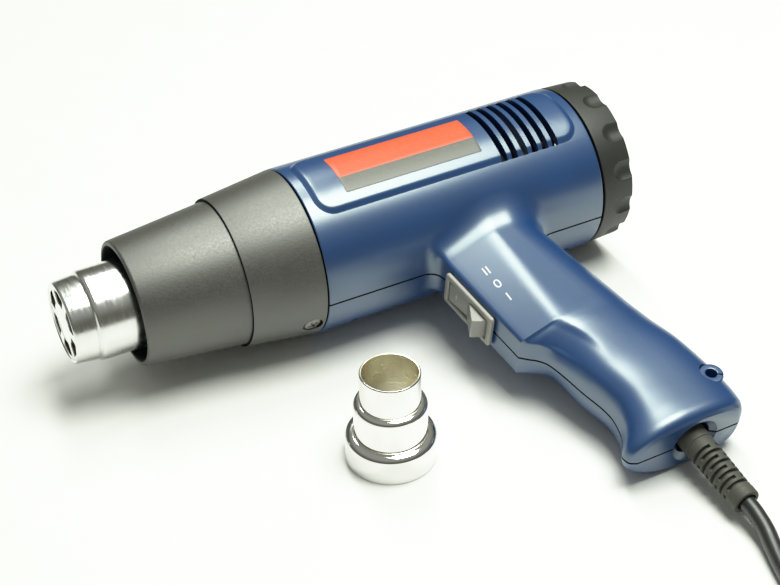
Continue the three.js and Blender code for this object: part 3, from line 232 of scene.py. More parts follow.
def bumped(mat, shader, height, strength, depth):
    """Relief from a noise, in metres."""
    links = mat.node_tree.links
    bump = new_node(mat, "ShaderNodeBump", Strength=strength, Distance=depth)
    links.new(height, bump.inputs["Height"])
    links.new(bump.outputs["Normal"], shader.inputs["Normal"])


def shade(value, factor):
    """Colour made lighter or darker."""
    return tuple(min(1.0, c * factor) for c in value)


def surfaced(mat, shader, tones, patches, gloss, marks, strength, depth):
    """Finish with its colour between two tones by one noise, its roughness and relief by another."""
    links = mat.node_tree.links
    links.new(mixed(mat, patches, *tones), shader.inputs["Base Color"])
    links.new(ranged(mat, marks, *gloss), shader.inputs["Roughness"])
    bumped(mat, shader, marks, strength, depth)
    return mat


def moulded(name, base, rough, grain=1600, strength=0.25, depth=0.00006, spread=0.12, specular=0.5,
            sheen=(1, 1, 1), speckled=False, uneven=0.05):
    """Moulded plastic: cloudy or speckled colour, grained surface, uneven gloss."""
    mat, shader, coord = blank_finish(name)
    fine = noise(mat, coord, grain, 1)
    patches = fine if speckled else noise(mat, coord, 38, 4)
    shader.inputs["Specular Tint"].default_value = (*sheen, 1)
    shader.inputs["Specular IOR Level"].default_value = specular
    shader.inputs["IOR"].default_value = 1.7
    tones = shade(base, 1 - spread), shade(base, 1 + spread)
    return surfaced(mat, shader, tones, patches, (rough - uneven, rough + uneven), fine, strength, depth)


def bright_metal(name, base, rough, stretch=(1, 1, 1), scale=220, strength=0.08):
    """Plated or drawn metal with fine marks along one direction."""
    mat, shader, coord = blank_finish(name)
    marks = noise(mat, coord, scale, 4, stretch)
    cloud = noise(mat, coord, 60, 2)
    shader.inputs["Metallic"].default_value = 1.0
    tones = shade(base, 0.94), shade(base, 1.03)
    return surfaced(mat, shader, tones, cloud, (rough * 0.7, rough * 1.4), marks, strength, 0.00002)


def printed(name, base, rough=0.38):
    """Printed film: even ink with a slight mottle."""
    mat, shader, coord = blank_finish(name)
    mottle = noise(mat, coord, 900, 3)
    tones = shade(base, 0.95), shade(base, 1.04)
    return surfaced(mat, shader, tones, mottle, (rough - 0.05, rough + 0.05), mottle, 0.1, 0.00002)


# Shapes

def filleted(path, closed=True, steps=5):
    """Path of (u, v, radius) with its corners rounded."""
    done = []
    for i, (u, v, radius) in enumerate(path):
        corner = Vector((u, v))
        if not radius or (not closed and i in (0, len(path) - 1)):
            done.append((u, v))
            continue
        back = Vector(path[i - 1][:2]) - corner
        ahead = Vector(path[(i + 1) % len(path)][:2]) - corner
        reach = radius / math.tan(back.angle(ahead) / 2)
        reach = min(reach, back.length * 0.49, ahead.length * 0.49)
        p0 = corner + back.normalized() * reach
        p1 = corner + ahead.normalized() * reach
        for k in range(steps + 1):
            t = k / steps
            done.append(tuple(p0 * (1 - t) ** 2 + corner * (2 * t * (1 - t)) + p1 * t * t))
    return done


def turned(path, steps=96, angle=math.tau, start=0.0):
    """Closed section of (x, r) points spun about X, whole or in part."""
    bm = bmesh.new()
    verts = [bm.verts.new((x, r * math.cos(start), r * math.sin(start))) for x, r in path]
    whole = angle == math.tau
    if whole:
        edges = [bm.edges.new((a, b)) for a, b in zip(verts, verts[1:] + verts[:1])]
        geom = verts + edges
    else:
        bm.faces.new(verts)
        geom = bm.verts[:] + bm.edges[:] + bm.faces[:]
    bmesh.ops.spin(
        bm, geom=geom, cent=(0, 0, 0), axis=(1, 0, 0), angle=angle, steps=steps, use_merge=whole,
        use_duplicate=False)
    return bm


def moved(bm, matrix):
    """The same shape at another place."""
    bmesh.ops.transform(bm, matrix=matrix, verts=bm.verts[:])
    return bm


def aimed(point, direction):
    """Matrix that takes the X axis to a direction, with its origin at a point."""
    return Matrix.Translation(point) @ Vector(direction).to_track_quat("X", "Z").to_matrix().to_4x4()


def loft(rings, caps=True):
    """Skin over closed rings of equally many points, extruded from one to the next."""
    bm = bmesh.new()
    rank = bm.verts.layers.int.new("rank")
    first = []
    for k, point in enumerate(rings[0]):
        vert = bm.verts.new(point)
        vert[rank] = k
        first.append(vert)
    edges = [bm.edges.new((a, b)) for a, b in zip(first, first[1:] + first[:1])]
    last = first
    for ring in rings[1:]:
        made = bmesh.ops.extrude_edge_only(bm, edges=edges)["geom"]
        last = [g for g in made if isinstance(g, bmesh.types.BMVert)]
        fresh = set(last)
        edges = [g for g in made if isinstance(g, bmesh.types.BMEdge) and all(v in fresh for v in g.verts)]
        for vert in last:
            vert.co = ring[vert[rank]]
    if caps:
        bm.faces.new(first)
        bm.faces.new(sorted(last, key=lambda v: v[rank]))
    return bm


def block(x0, x1, y0, y1, z0, z1, bm=None):
    """Plain box, used to cut with."""
    bm = bm or bmesh.new()
    middle = Matrix.Translation(((x0 + x1) / 2, (y0 + y1) / 2, (z0 + z1) / 2))
    bmesh.ops.create_cube(bm, size=1, matrix=middle @ Matrix.Diagonal((x1 - x0, y1 - y0, z1 - z0, 1)))
    return bm


def rod(radius, start, end, sides=24, bm=None):
    """Plain rod between two points, used to cut with and for flat marks."""
    bm = bm or bmesh.new()
    start, end = Vector(start), Vector(end)
    turn = (end - start).to_track_quat("Z", "Y").to_matrix().to_4x4()
    bmesh.ops.create_cone(
        bm, cap_ends=True, segments=sides, radius1=radius, radius2=radius, depth=(end - start).length,
        matrix=Matrix.Translation((start + end) / 2) @ turn)
    return bm


def plate(outlines, thickness, bevel):
    """Flat plate with holes, in the XY plane from z = 0 upwards, its edges rounded."""
    curve = bpy.data.curves.new("plate", "CURVE")
    curve.dimensions = "2D"
    curve.fill_mode = "BOTH"
    curve.extrude = thickness / 2 - bevel
    curve.bevel_depth = bevel
    curve.bevel_resolution = 2
    curve.offset = -bevel
    for points in outlines:
        spline = curve.splines.new("POLY")
        spline.points.add(len(points) - 1)
        for spot, (u, v) in zip(spline.points, points):
            spot.co = (u, v, 0, 1)
        spline.use_cyclic_u = True
    return curve_shape(curve, Matrix.Translation((0, 0, thickness / 2)))


def curve_shape(curve, matrix):
    """A curve or text made a mesh shape at its place."""
    holder = bpy.data.objects.new("shape", curve)
    bpy.context.scene.collection.objects.link(holder)
    graph = bpy.context.evaluated_depsgraph_get()
    mesh = bpy.data.meshes.new_from_object(holder.evaluated_get(graph))
    bm = bmesh.new()
    bm.from_mesh(mesh)
    bpy.data.objects.remove(holder)
    bpy.data.curves.remove(curve)
    bpy.data.meshes.remove(mesh)
    return moved(bm, matrix)


def circle(radius, count):
    """Points round a circle about the origin."""
    turns = (math.tau * k / count for k in range(count))
    return [(radius * math.cos(a), radius * math.sin(a)) for a in turns]


def facing_rear(x):
    """Matrix that stands a flat shape across the barrel's axis, from a station rearwards."""
    return Matrix(((0, 0, 1, x), (1, 0, 0, 0), (0, 1, 0, 0), (0, 0, 0, 1)))


def box_mm(name):
    """Lowest and highest corner of a CAD node in millimetres."""
    return [Vector(corner) * 1000 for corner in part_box(name)]


def joined(*shapes):
    """Several shapes in one."""
    bm = bmesh.new()
    for shape in shapes:
        mesh = bpy.data.meshes.new("part")
        shape.to_mesh(mesh)
        shape.free()
        bm.from_mesh(mesh)
        bpy.data.meshes.remove(mesh)
    return bm


def closed_up(bm):
    """The same shape with its doubles merged and its faces turned outwards."""
    bmesh.ops.remove_doubles(bm, verts=bm.verts[:], dist=0.002)
    bmesh.ops.recalc_face_normals(bm, faces=bm.faces[:])
    return bm


def mesh_object(name, bm):
    """Object in the scene made from a shape, which is used up."""
    mesh = bpy.data.meshes.new(name)
    bm.to_mesh(mesh)
    bm.free()
    obj = bpy.data.objects.new(name, mesh)
    bpy.context.scene.collection.objects.link(obj)
    return obj


def carve(obj, cutter):
    """Takes a shape out of a piece."""
    other = mesh_object("cutter", closed_up(cutter))
    modifier = obj.modifiers.new("carve", "BOOLEAN")
    modifier.object = other
    modifier.operation = "DIFFERENCE"
    modifier.solver = "EXACT"
    graph = bpy.context.evaluated_depsgraph_get()
    done = bpy.data.meshes.new_from_object(obj.evaluated_get(graph))
    obj.modifiers.remove(modifier)
    obj.data = done
    bpy.data.objects.remove(other)
    if not done.polygons:
        raise RuntimeError(f"{obj.name}: nothing is left after a cut")


def piece(name, bm, finish, nodes=(), body="tool", place=TOOL, cuts=(), sharp=35, second=None):
    """Finished piece: its mesh in place, smooth but for its sharp edges, riding on its body.

    A second finish comes with the test that chooses its faces by their middle and direction.
    """
    obj = mesh_object(name, closed_up(bm))
    for shape in cuts:
        carve(obj, shape)
    other, chosen = second or (None, None)
    picks = [int(bool(chosen and chosen(p.center, p.normal))) for p in obj.data.polygons]
    obj.data.transform(place)
    obj.data.materials.clear()
    for mat in filter(None, (finish, other)):
        obj.data.materials.append(mat)
    for polygon, pick in zip(obj.data.polygons, picks):
        polygon.use_smooth = True
        polygon.material_index = pick
    obj.data.set_sharp_from_angle(angle=math.radians(sharp))
    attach(obj, body)
    if nodes:
        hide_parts(*nodes)
    return obj


def rounded_box(u, v, radius):
    """Points of a rounded rectangle about the origin, half sizes u and v."""
    return filleted([(u, -v, radius), (u, v, radius), (-u, v, radius), (-u, -v, radius)], True, 6)


# Handle

def through(stations, column=1):
    """Smooth line through one column of some stations, without overshoot."""
    xs = [row[0] for row in stations]
    ys = [row[column] for row in stations]
    slopes = [(b - a) / (q - p) for a, b, p, q in zip(ys, ys[1:], xs, xs[1:])]
    tangents = [slopes[0]]
    for a, b in zip(slopes, slopes[1:]):
        tangents.append(0 if a * b <= 0 else 2 * a * b / (a + b))
    tangents.append(slopes[-1])

    def at(x):
        k = max(i for i in range(len(xs) - 1) if i == 0 or xs[i] <= x)
        width = xs[k + 1] - xs[k]
        t = (x - xs[k]) / width
        return (
            ys[k] * (1 + 2 * t) * (1 - t) ** 2 + tangents[k] * width * t * (1 - t) ** 2
            + ys[k + 1] * t * t * (3 - 2 * t) + tangents[k + 1] * width * t * t * (t - 1))

    return at


REAR_LINE, HALF_LINE = through(HANDLE, 1), through(HANDLE, 2)
RIDGE_LINE, BLOCK_LINE, GRIP_LINE = through(RIDGE), through(BLOCK_FRONT), through(GRIP_FRONT)
# How square the grip's oval is behind its middle and ahead of it, and how far the step has become the oval
REAR_POWER = through([(80, 2.2), (104, 2.2), (126, 3), (170, 3)])
FRONT_POWER = through([(80, 2.2), (104, 2.2), (126, 3), (142, 2.95), (151, 2.6), (158, 2), (170, 2)])
STEP_BLEND = through([(BLOCK_END, 0), (98.2, 0.35), (100.3, 0.6), (103.8, 0.88), (108.6, 1), (170, 1)])
SECTION_STEPS = sorted(
    [0.0336 * k for k in range(5)] + [0.168 + 0.0082 * k for k in range(7)] + [0.24, 0.265, 0.29, 0.315, 0.335]
    + [0.35 + 0.01 * k for k in range(11)] + [0.47, 0.5, 0.53, 0.565] + [0.6 + 0.025 * k for k in range(17)])


def front_line(d):
    """Front edge of the handle."""
    return BLOCK_LINE(d) if d <= BLOCK_END else GRIP_LINE(d)


def between(start, end, t):
    """Point on the way from one point to another."""
    return tuple(a + (b - a) * t for a, b in zip(start, end))


def bent(start, corner, end, t):
    """Number on a curve that leaves its start and meets its end towards a corner."""
    return start * (1 - t) ** 2 + corner * 2 * t * (1 - t) + end * t * t


def squared(share, d):
    """Point of the switch block's section, by its share of the way from front to rear."""
    f, b, h = front_line(d), REAR_LINE(d), HALF_LINE(d)
    ridge = (RIDGE_LINE(d), h * 0.965)
    if share <= FACE_SHARE:
        return f, FACE_HALF * share / FACE_SHARE
    if share <= RIDGE_SHARE:
        return between((f, FACE_HALF), ridge, (share - FACE_SHARE) / (RIDGE_SHARE - FACE_SHARE))
    if share <= TOP_SHARE:
        return between(ridge, (b - REAR_ROUND, h), (share - RIDGE_SHARE) / (TOP_SHARE - RIDGE_SHARE))
    a = math.radians(90 * (1 - share) / (1 - TOP_SHARE))
    return b - REAR_ROUND + REAR_ROUND * math.cos(a), h * math.sin(a)


def softened(share, d):
    """The same with the block's front edge and its ridge rounded."""
    for middle, before, after in ((FACE_SHARE, 0.03, 0.016), (RIDGE_SHARE, 0.045, 0.045)):
        if middle - before < share < middle + after:
            t = (share - middle + before) / (before + after)
            ends = [squared(s, d) for s in (middle - before, middle, middle + after)]
            return tuple(bent(*values, t) for values in zip(*ends))
    return squared(share, d)


def oval_power(u, d):
    """How square the grip's oval is on one side of its middle."""
    return FRONT_POWER(d) if u < 0 else REAR_POWER(d)


def rounded(share, d):
    """Point of the grip's oval section, with its shoulder at the same share as the block's ridge."""
    f, b, h = front_line(d), REAR_LINE(d), HALF_LINE(d)
    middle, reach = (f + b) / 2, (b - f) / 2
    turns = [math.pi]
    for x in (RIDGE_LINE(d), b - REAR_ROUND):
        u = (x - middle) / reach
        turns.append(math.acos(math.copysign(abs(u) ** (oval_power(u, d) / 2), u)))
    turns.append(0)
    a = through(list(zip((0, RIDGE_SHARE, TOP_SHARE, 1), turns)))(share)
    flat = 2 / oval_power(math.cos(a), d)
    bend = [math.copysign(abs(v) ** flat, v) for v in (math.cos(a), max(math.sin(a), 0))]
    return middle + reach * bend[0], h * bend[1]


def eased(t):
    """Share from 0 to 1 with soft ends."""
    t = max(0, min(1, t))
    return t * t * (3 - 2 * t)


def plain_point(share, d):
    """Point of the handle's section without the hollow: along X, and above the seam."""
    if d <= TURN_D:
        return softened(share, d)
    step = STEP_BLEND(d) if d > BLOCK_END else 0
    slow = eased((d - TURN_D) / TURN_LENGTH)
    blend = step + (slow - step) * eased((share - 0.36) / 0.05)
    return between(softened(share, d), rounded(share, d), blend)


def handle_point(share, d):
    """Point of the handle's section at a depth below the axis, with the finger hollow under the block."""
    x, z = plain_point(share, d)
    past = d - BLOCK_END
    if not 0 < past < HOLLOW_LENGTH or not HOLLOW_LOW < share < HOLLOW_HIGH:
        return x, z
    sink = HOLLOW * min(past, 1) * (1 - eased((past - 1) / (HOLLOW_LENGTH - 1)))
    sink *= eased((share - HOLLOW_LOW) / 0.05) * eased((HOLLOW_HIGH - share) / 0.06)
    out = handle_normal(share, d)
    return x - out.x * sink, z - out.y * sink


def handle_normal(share, d):
    """Outward direction in the section's plane."""
    if share in (0, 1):
        return Vector((2 * share - 1, 0))
    x0, z0 = plain_point(max(share - 0.01, 0), d)
    x1, z1 = plain_point(min(share + 0.01, 1), d)
    return Vector((z0 - z1, x1 - x0)).normalized()


def off_table(x, d, z):
    """Thickness of the lower half at a point, no more than reaches the table."""
    return z + min((TOOL @ Vector((x, -d, -z))).z * 1000, 0)


def handle_half(side):
    """One half of the handle, flared onto the barrel at its top and closed at the seam and the butt."""
    gap, fillet = size("seam_gap") / 2, size("handle_fillet")
    under_skin, into_barrel = 0.004, 3
    rings = []
    flare = [(1, into_barrel)]
    flare += [(t, 0) for t in (1, 0.98, 0.95, 0.9, 0.83, 0.75, 0.67, 0.58, 0.5, 0.4, 0.3, 0.2, 0.1, 0)]
    for t, lift in flare:
        ring = []
        for share in SECTION_STEPS:
            x, z = handle_point(share, FLARE_D)
            out = handle_normal(share, FLARE_D)
            radius = barrel_r(x + out.x * fillet) - under_skin
            far = math.sqrt(radius ** 2 - (z + out.y * fillet) ** 2)
            corner = far + (z + out.y * fillet) / far * out.y * fillet
            d = bent(corner + fillet, corner, far, t)
            off = t * t * fillet
            ring.append((x + out.x * off, lift - d, side * max(z + out.y * off, gap)))
        rings.append(ring)
    depths = [47.5, 50, 54, 60, 66, 72, 78, 82, 85, 88, 91, 93.5, BLOCK_END]
    depths += [BLOCK_END + 0.5 * k for k in range(1, 27)] + [108.5 + 2.4 * k for k in range(1, 20)]
    depths += [156.5, 157.6, 158.5, 159.3, 160, 160.7, 161.4, 162, 162.5, 162.9, BUTT]
    for d in depths:
        ring = [handle_point(share, d) for share in SECTION_STEPS]
        if side < 0:
            ring = [(x, off_table(x, d, z)) for x, z in ring]
        rings.append([(x, -d, side * max(z, gap)) for x, z in ring])
    return loft(rings)


def barrel_half(side):
    """One half of the barrel: a wall with spigots under the collar and the cap."""
    gap = size("seam_gap") / 2
    turn = math.asin(gap / BARREL_FRONT_R)
    section = [
        (SPIGOT_FRONT, collar_r(SPIGOT_FRONT) - 4.6, 0), (SPIGOT_FRONT, collar_r(SPIGOT_FRONT) - 2.4, 0),
        (BARREL_FRONT, BARREL_FRONT_R - 2.4, 0), (BARREL_FRONT, BARREL_FRONT_R, 0.7),
        (BARREL_REAR, BARREL_REAR_R, 0.7), (BARREL_REAR, REAR_SPIGOT_R, 0), (SPIGOT_REAR, REAR_SPIGOT_R, 0),
        (SPIGOT_REAR, REAR_SPIGOT_BORE, 0), (BARREL_REAR, REAR_SPIGOT_BORE, 0),
        (BARREL_REAR - WALL, BARREL_REAR_R - WALL, 0), (BARREL_FRONT + WALL, BARREL_FRONT_R - WALL, 0),
        (BARREL_FRONT, BARREL_FRONT_R - 4.6, 0),
    ]
    start = turn if side > 0 else math.pi + turn
    return turned(filleted(section), 120, math.pi - 2 * turn, start)


def wrapped(outline, layers, side=1, middle=0.0):
    """Pad on the barrel: outline(inset) gives a ring of (x, y), layers are (inset, height) outside in."""
    rings = []
    for inset, height in layers:
        ring = []
        for x, y in outline(inset):
            a = math.asin(max(-1, min(1, y / barrel_r(x)))) + middle
            r = barrel_r(x) + height
            ring.append((x, r * math.sin(a), side * r * math.cos(a)))
        rings.append(ring)
    return loft(rings)


def pad_outline(x0, x1, half, radius):
    """Rounded rectangle on the barrel that can be drawn with an inset."""
    long_steps, short_steps = int((x1 - x0) / 3), 12

    def outline(inset):
        u, v = (x1 - x0) / 2 - inset, half - inset
        r = max(radius - inset, min(0.4, v * 0.5))
        points = []
        corners = [(u - r, v - r, 0), (r - u, v - r, 90), (r - u, r - v, 180), (u - r, r - v, 270)]
        for k, (cx, cy, a0) in enumerate(corners):
            for s in range(9):
                a = math.radians(a0 + 90 * s / 8)
                points.append((cx + r * math.cos(a), cy + r * math.sin(a)))
            tx, ty = corners[(k + 1) % 4][:2]
            a = math.radians(a0 + 90)
            sx, sy = points[-1]
            ex, ey = tx + r * math.cos(a), ty + r * math.sin(a)
            steps = long_steps if k % 2 == 0 else short_steps
            points += [(sx + (ex - sx) * s / steps, sy + (ey - sy) * s / steps) for s in range(1, steps)]
        return [(x + (x0 + x1) / 2, y) for x, y in points]

    return outline


def air_slots(side):
    """Slots across the panel and through the wall."""
    bm = bmesh.new()
    half = size("panel_width") / 2 + 0.1
    z = (26, 43) if side > 0 else (-43, -26)
    for k in range(SLOT_COUNT):
        x = SLOT_FIRST + SLOT_PITCH * k
        block(x - SLOT_HALF, x + SLOT_HALF, -half, half, *z, bm)
    return bm


def lower_screw_holes(places):
    """Round holes that the housing screws' heads sit in."""
    bm = bmesh.new()
    for x, y in places:
        rod(3.1, (x, y, -45), (x, y, -12 if y > -40 else -13), 24, bm)
    return bm


class TOOLPARTS_OT_housing(Operator):
    """Blue housing: barrel, panels with air slots, handle, label bands and switch marks"""

    bl_idname = "toolparts.housing"
    bl_label = "Housing"

    def execute(self, context):
        blue = moulded("blue_plastic", tint("housing"), 0.3, grain=1500, strength=0.06, depth=0.00005, spread=0.06,
                       specular=1, sheen=(0.9, 1, 0.98), uneven=0.015)
        dark = moulded("joint_shadow", (0.004, 0.005, 0.007), 0.8, grain=900, strength=0.2, depth=0.00005,
                       spread=0.2, specular=0.1)

        def joint(middle, normal):
            """Faces along the seam and under the cap."""
            seam = abs(middle.z) < 0.6 and abs(normal.z) > 0.9
            return seam or middle.x > BARREL_REAR - 0.05 or middle.x < BARREL_FRONT + 0.05

        for side, half in ((1, "upper"), (-1, "lower")):
            node = f"{half}_housing"
            cuts = [air_slots(side)]
            grip_cuts = [self.cord_dish(), self.switch_hole()]
            if side > 0:
                grip_cuts.append(rod(EYELET_R + 0.15, (EYELET_X, -EYELET_D, 3.7), (EYELET_X, -EYELET_D, 30), 48))
            else:
                cuts.append(lower_screw_holes(SCREW_PLACES[:4]))
                grip_cuts.append(lower_screw_holes(SCREW_PLACES[4:]))
            piece(f"barrel_{half}", barrel_half(side), blue, [node], cuts=cuts, second=(dark, joint))
            piece(f"grip_{half}", handle_half(side), blue, [node], cuts=grip_cuts, sharp=32,
                  second=(dark, joint))
            rise = size("panel_raise")
            outline = pad_outline(PANEL_FRONT, PANEL_REAR, size("panel_width") / 2, PANEL_CORNER)
            layers = [(0, -0.6), (0, 0.04), (0.3, 0.14), (1, 0.5), (1.7, 0.92), (2.2, rise - 0.06), (2.8, rise)]
            layers += [(inset, rise) for inset in (4.5, 7, 9.5, 12, 14.5, 17.5)]
            piece(f"panel_{half}", wrapped(outline, layers, side), blue, [node],
                  cuts=[air_slots(side)])
        self.label()
        self.marks()
        return {"FINISHED"}

    def cord_dish(self):
        """Recess round the cord's sleeve at the butt."""
        section = [(-1, 0), (-1, 11.4), (0.3, 10.2), (1.8, 7.9), (9, 7.6), (9, 0)]
        return moved(turned(section, 64), aimed((CORD_X, -BUTT, 0), (0, 1, 0)))

    def switch_hole(self):
        """Opening for the switch in the block's front face."""
        return moved(block(-4, 21, -14.9, 14.9, -7, 7), SWITCH)

    def label(self):
        """Two bare bands on the upper panel."""
        rise = size("panel_raise")
        rear = LABEL_FRONT + size("label_length")
        for name, low, high in (("band_upper", 84.2, 105), ("band_lower", 72, 83.9)):
            middle = math.radians((low + high) / 2 - 90)
            half = LABEL_R * math.sin(math.radians(high - low) / 2)
            outline = pad_outline(LABEL_FRONT, rear, half, 0.6)
            layers = [(0, rise - 0.05), (0, rise + 0.1), (0.08, rise + 0.14)]
            layers += [(half * share, rise + 0.14) for share in (0.3, 0.6, 0.97)]
            finish = printed(f"label_{name}", tint(name))
            piece(f"label_{name}", wrapped(outline, layers, 1, middle), finish)

    def marks(self):
        """Plain position marks beside the switch."""
        white = printed("mark_white", (0.8, 0.82, 0.85), 0.5)
        for k, (text, d) in enumerate((("II", 57), ("0", 65.5), ("I", 74))):
            curve = bpy.data.curves.new("mark", "FONT")
            curve.body = text
            curve.size = 6.5
            curve.align_x = curve.align_y = "CENTER"
            curve.extrude = 0.04
            low, middle, high, ahead = (
                Vector((x, -at, z)) for at, (x, z) in
                ((at, squared(share, at)) for share, at in ((0.25, d), (0.29, d), (0.35, d), (0.29, d - 4))))
            reading = (high - low).normalized()
            out = reading.cross(ahead - middle).normalized()
            turn = Matrix((reading, out.cross(reading), out)).transposed().to_4x4()
            shape = curve_shape(curve, Matrix.Translation(middle) @ turn)
            piece(f"switch_mark_{k + 1}", shape, white)


class TOOLPARTS_OT_guard(Operator):
    """Grey heat guard: sleeve, collar and their screws"""

    bl_idname = "toolparts.guard"
    bl_label = "Heat guard"

    def execute(self, context):
        grey = moulded("guard_plastic", tint("guard"), 0.5, grain=1300, strength=0.4, depth=0.00009, spread=0.25,
                       specular=1, sheen=(1, 1, 0.97), speckled=True)
        tail = 84
        sleeve = [
            (GUARD_FRONT, GUARD_FRONT_R, 1.3), (COLLAR_FRONT, GUARD_STEP_R, 0), (tail, GUARD_STEP_R - 0.5, 0),
            (tail, GUARD_STEP_R - 2.4, 0), (GUARD_FRONT, GUARD_FRONT_R - 2.6, 1.2),
        ]
        dark = bpy.data.materials["joint_shadow"]

        def hidden(middle, normal):
            """Faces that look inwards, the step and the ends under the barrel."""
            step = normal.x < -0.6 and middle.x > COLLAR_FRONT - 1
            return normal.y * middle.y + normal.z * middle.z < -5 or normal.x > 0.9 or step

        piece("guard_front", turned(filleted(sleeve), 160), grey, ["guard_sleeve"],
              second=(dark, hidden))
        rear, bore_start = BARREL_FRONT - 0.6, COLLAR_FRONT + 12
        collar = [
            (COLLAR_FRONT, COLLAR_FRONT_R, 0.7), (rear, collar_r(rear), 0.5), (rear, collar_r(rear) - 2, 0),
            (bore_start, collar_r(bore_start) - 2, 0), (COLLAR_FRONT, GUARD_STEP_R + 0.3, 0),
        ]
        steel = bright_metal("screw_metal", (0.3, 0.295, 0.275), 0.5, scale=900)
        pockets = bmesh.new()
        x, below, pocket_r, pocket_depth = BARREL_FRONT - 6.2, math.radians(17.9), 4.4, 1.7
        for k, turn in enumerate((0, math.pi)):
            out = Vector((0, -math.cos(below + turn), -math.sin(below + turn)))
            top = Vector((x, 0, 0)) + out * (collar_r(x) + 0.25)
            rod(pocket_r, top - out * pocket_depth, top + out * 3, 32, pockets)
            piece(f"guard_fixing_{k + 1}", self.screw_head(top, out), steel,
                  [f"guard_screw_{k + 1}"], cuts=self.cross(top, out))
        piece("guard_rear", turned(filleted(collar), 160), grey, ["guard_collar"], cuts=[pockets],
              second=(dark, hidden))
        return {"FINISHED"}

    def screw_head(self, top, out):
        """Domed head with its shank, pointing outwards."""
        tip, shank, head = -6.5, 1.4, 3.7
        section = [(tip, 0, 0), (tip, shank, 0), (-1.5, shank, 0), (-1.5, head, 0.2), (-0.75, head, 0.8), (0, 0, 0)]
        return moved(turned(filleted(section), 48), aimed(top, out))

    def cross(self, top, out):
        """Cross recess."""
        turns = (Matrix.Rotation(a, 4, "X") for a in (0.5, 0.5 + math.pi / 2))
        return [moved(block(-1.2, 0.6, -2.3, 2.3, -0.5, 0.5), aimed(top, out) @ turn) for turn in turns]


class TOOLPARTS_OT_outlet(Operator):
    """Chrome outlet and the plate in its mouth"""

    bl_idname = "toolparts.outlet"
    bl_label = "Outlet"

    def execute(self, context):
        chrome = bright_metal("chrome", (0.84, 0.84, 0.83), 0.2, stretch=(6, 1, 1), scale=150, strength=0.02)
        r, big, wall = NOZZLE_MOUTH_R, NOZZLE_R, 0.9
        flange_front, flange_rear, flange_r = 84.3, 86, 30.8
        section = [
            (0.5, r - 1.5, 0.4), (0, r - 1, 0.3), (0, r - 0.5, 0.5), (0.9, r, 0.6), (NOZZLE_STEP - 1, r + 0.7, 0.4),
            (NOZZLE_STEP - 0.4, r + 0.3, 0.3), (NOZZLE_STEP + 0.4, big - 0.4, 0.4), (NOZZLE_STEP + 1.6, big, 0.8),
            (flange_front, big, 0.6), (flange_front, flange_r, 0), (flange_rear, flange_r, 0),
            (flange_rear, big - wall, 0), (NOZZLE_STEP + 1, big - wall, 0), (NOZZLE_STEP, r - wall, 0),
            (2.2, r - wall, 0),
        ]
        piece("outlet_tube", turned(filleted(section), 144), chrome, ["outlet_nozzle"])
        outlines, openings, half = [circle(16.4, 96)], 6, math.radians(22)
        for k in range(openings):
            corners = [(8.8, -half * 0.85), (14.6, -half), (15, 0), (14.6, half), (8.8, half * 0.85), (9, 0)]
            middle = math.tau * (k + 0.3) / openings
            path = [
                (rr * math.cos(middle + a), rr * math.sin(middle + a), 0 if a == 0 else 0.9) for rr, a in corners]
            outlines.append(filleted(path, True, 4))
        grille = moved(plate(outlines, 1.2, 0.22), facing_rear(0.35))
        piece("outlet_plate", grille, chrome, ["outlet_grille"])
        return {"FINISHED"}


class TOOLPARTS_OT_rear_cap(Operator):
    """Grey rear cap with finger scallops and inlet slots"""

    bl_idname = "toolparts.rear_cap"
    bl_label = "Rear cap"

    def execute(self, context):
        grey = moulded("cap_plastic", tint("cap"), 0.5, grain=1300, strength=0.35, depth=0.00007, spread=0.08,
                       specular=0.4)
        front, grid, seat, seat_r, bore, bore_front = BARREL_REAR + 1.1, 2.45, CAP_REAR - 2.6, 31, 32.9, 246
        section = filleted([
            (front, REAR_SPIGOT_R + 0.3, 0), (front, CAP_R, 0.5), (CAP_REAR, CAP_REAR_R, 0.8), (CAP_REAR, seat_r, 0),
            (seat, seat_r, 0), (seat, bore, 0), (bore_front, bore, 0),
        ])
        disc, inlets, near, far, half = [circle(31.4, 120)], 16, 13, 29, 1.4
        inlet = filleted([(near, -half, 1.3), (far, -half, 1.3), (far, half, 1.3), (near, half, 1.3)], True, 4)
        for k in range(inlets):
            a = math.tau * k / inlets
            ray, side = Vector((math.cos(a), math.sin(a))), Vector((-math.sin(a), math.cos(a)))
            disc.append([tuple(ray * u + side * v) for u, v in inlet])
        piece("rear_cover", turned(section, 260), grey, ["rear_cap"], cuts=[self.scallops()], sharp=28)
        shape = moved(plate(disc, grid, 0.3), facing_rear(CAP_REAR - grid - 0.05))
        piece("rear_grid", shape, grey, ["rear_cap"])
        return {"FINISHED"}

    def scallops(self):
        """Capsule hollows with rounded front ends, open to the rear."""
        count, bulge, deep, start = 13, 7.0, 2.2, CAP_REAR - 4.9
        reach = CAP_R + bulge - deep
        arc = [math.radians(a) for a in range(0, 91, 6)]
        section = [(start - bulge * math.cos(a), bulge * math.sin(a)) for a in arc]
        section += [(CAP_REAR + 6, bulge), (CAP_REAR + 6, 0)]
        shapes = []
        for k in range(count):
            a = math.tau * k / count + math.radians(11)
            place = Matrix.Translation((0, reach * math.cos(a), reach * math.sin(a)))
            shapes.append(moved(turned(section, 48), place))
        return joined(*shapes)


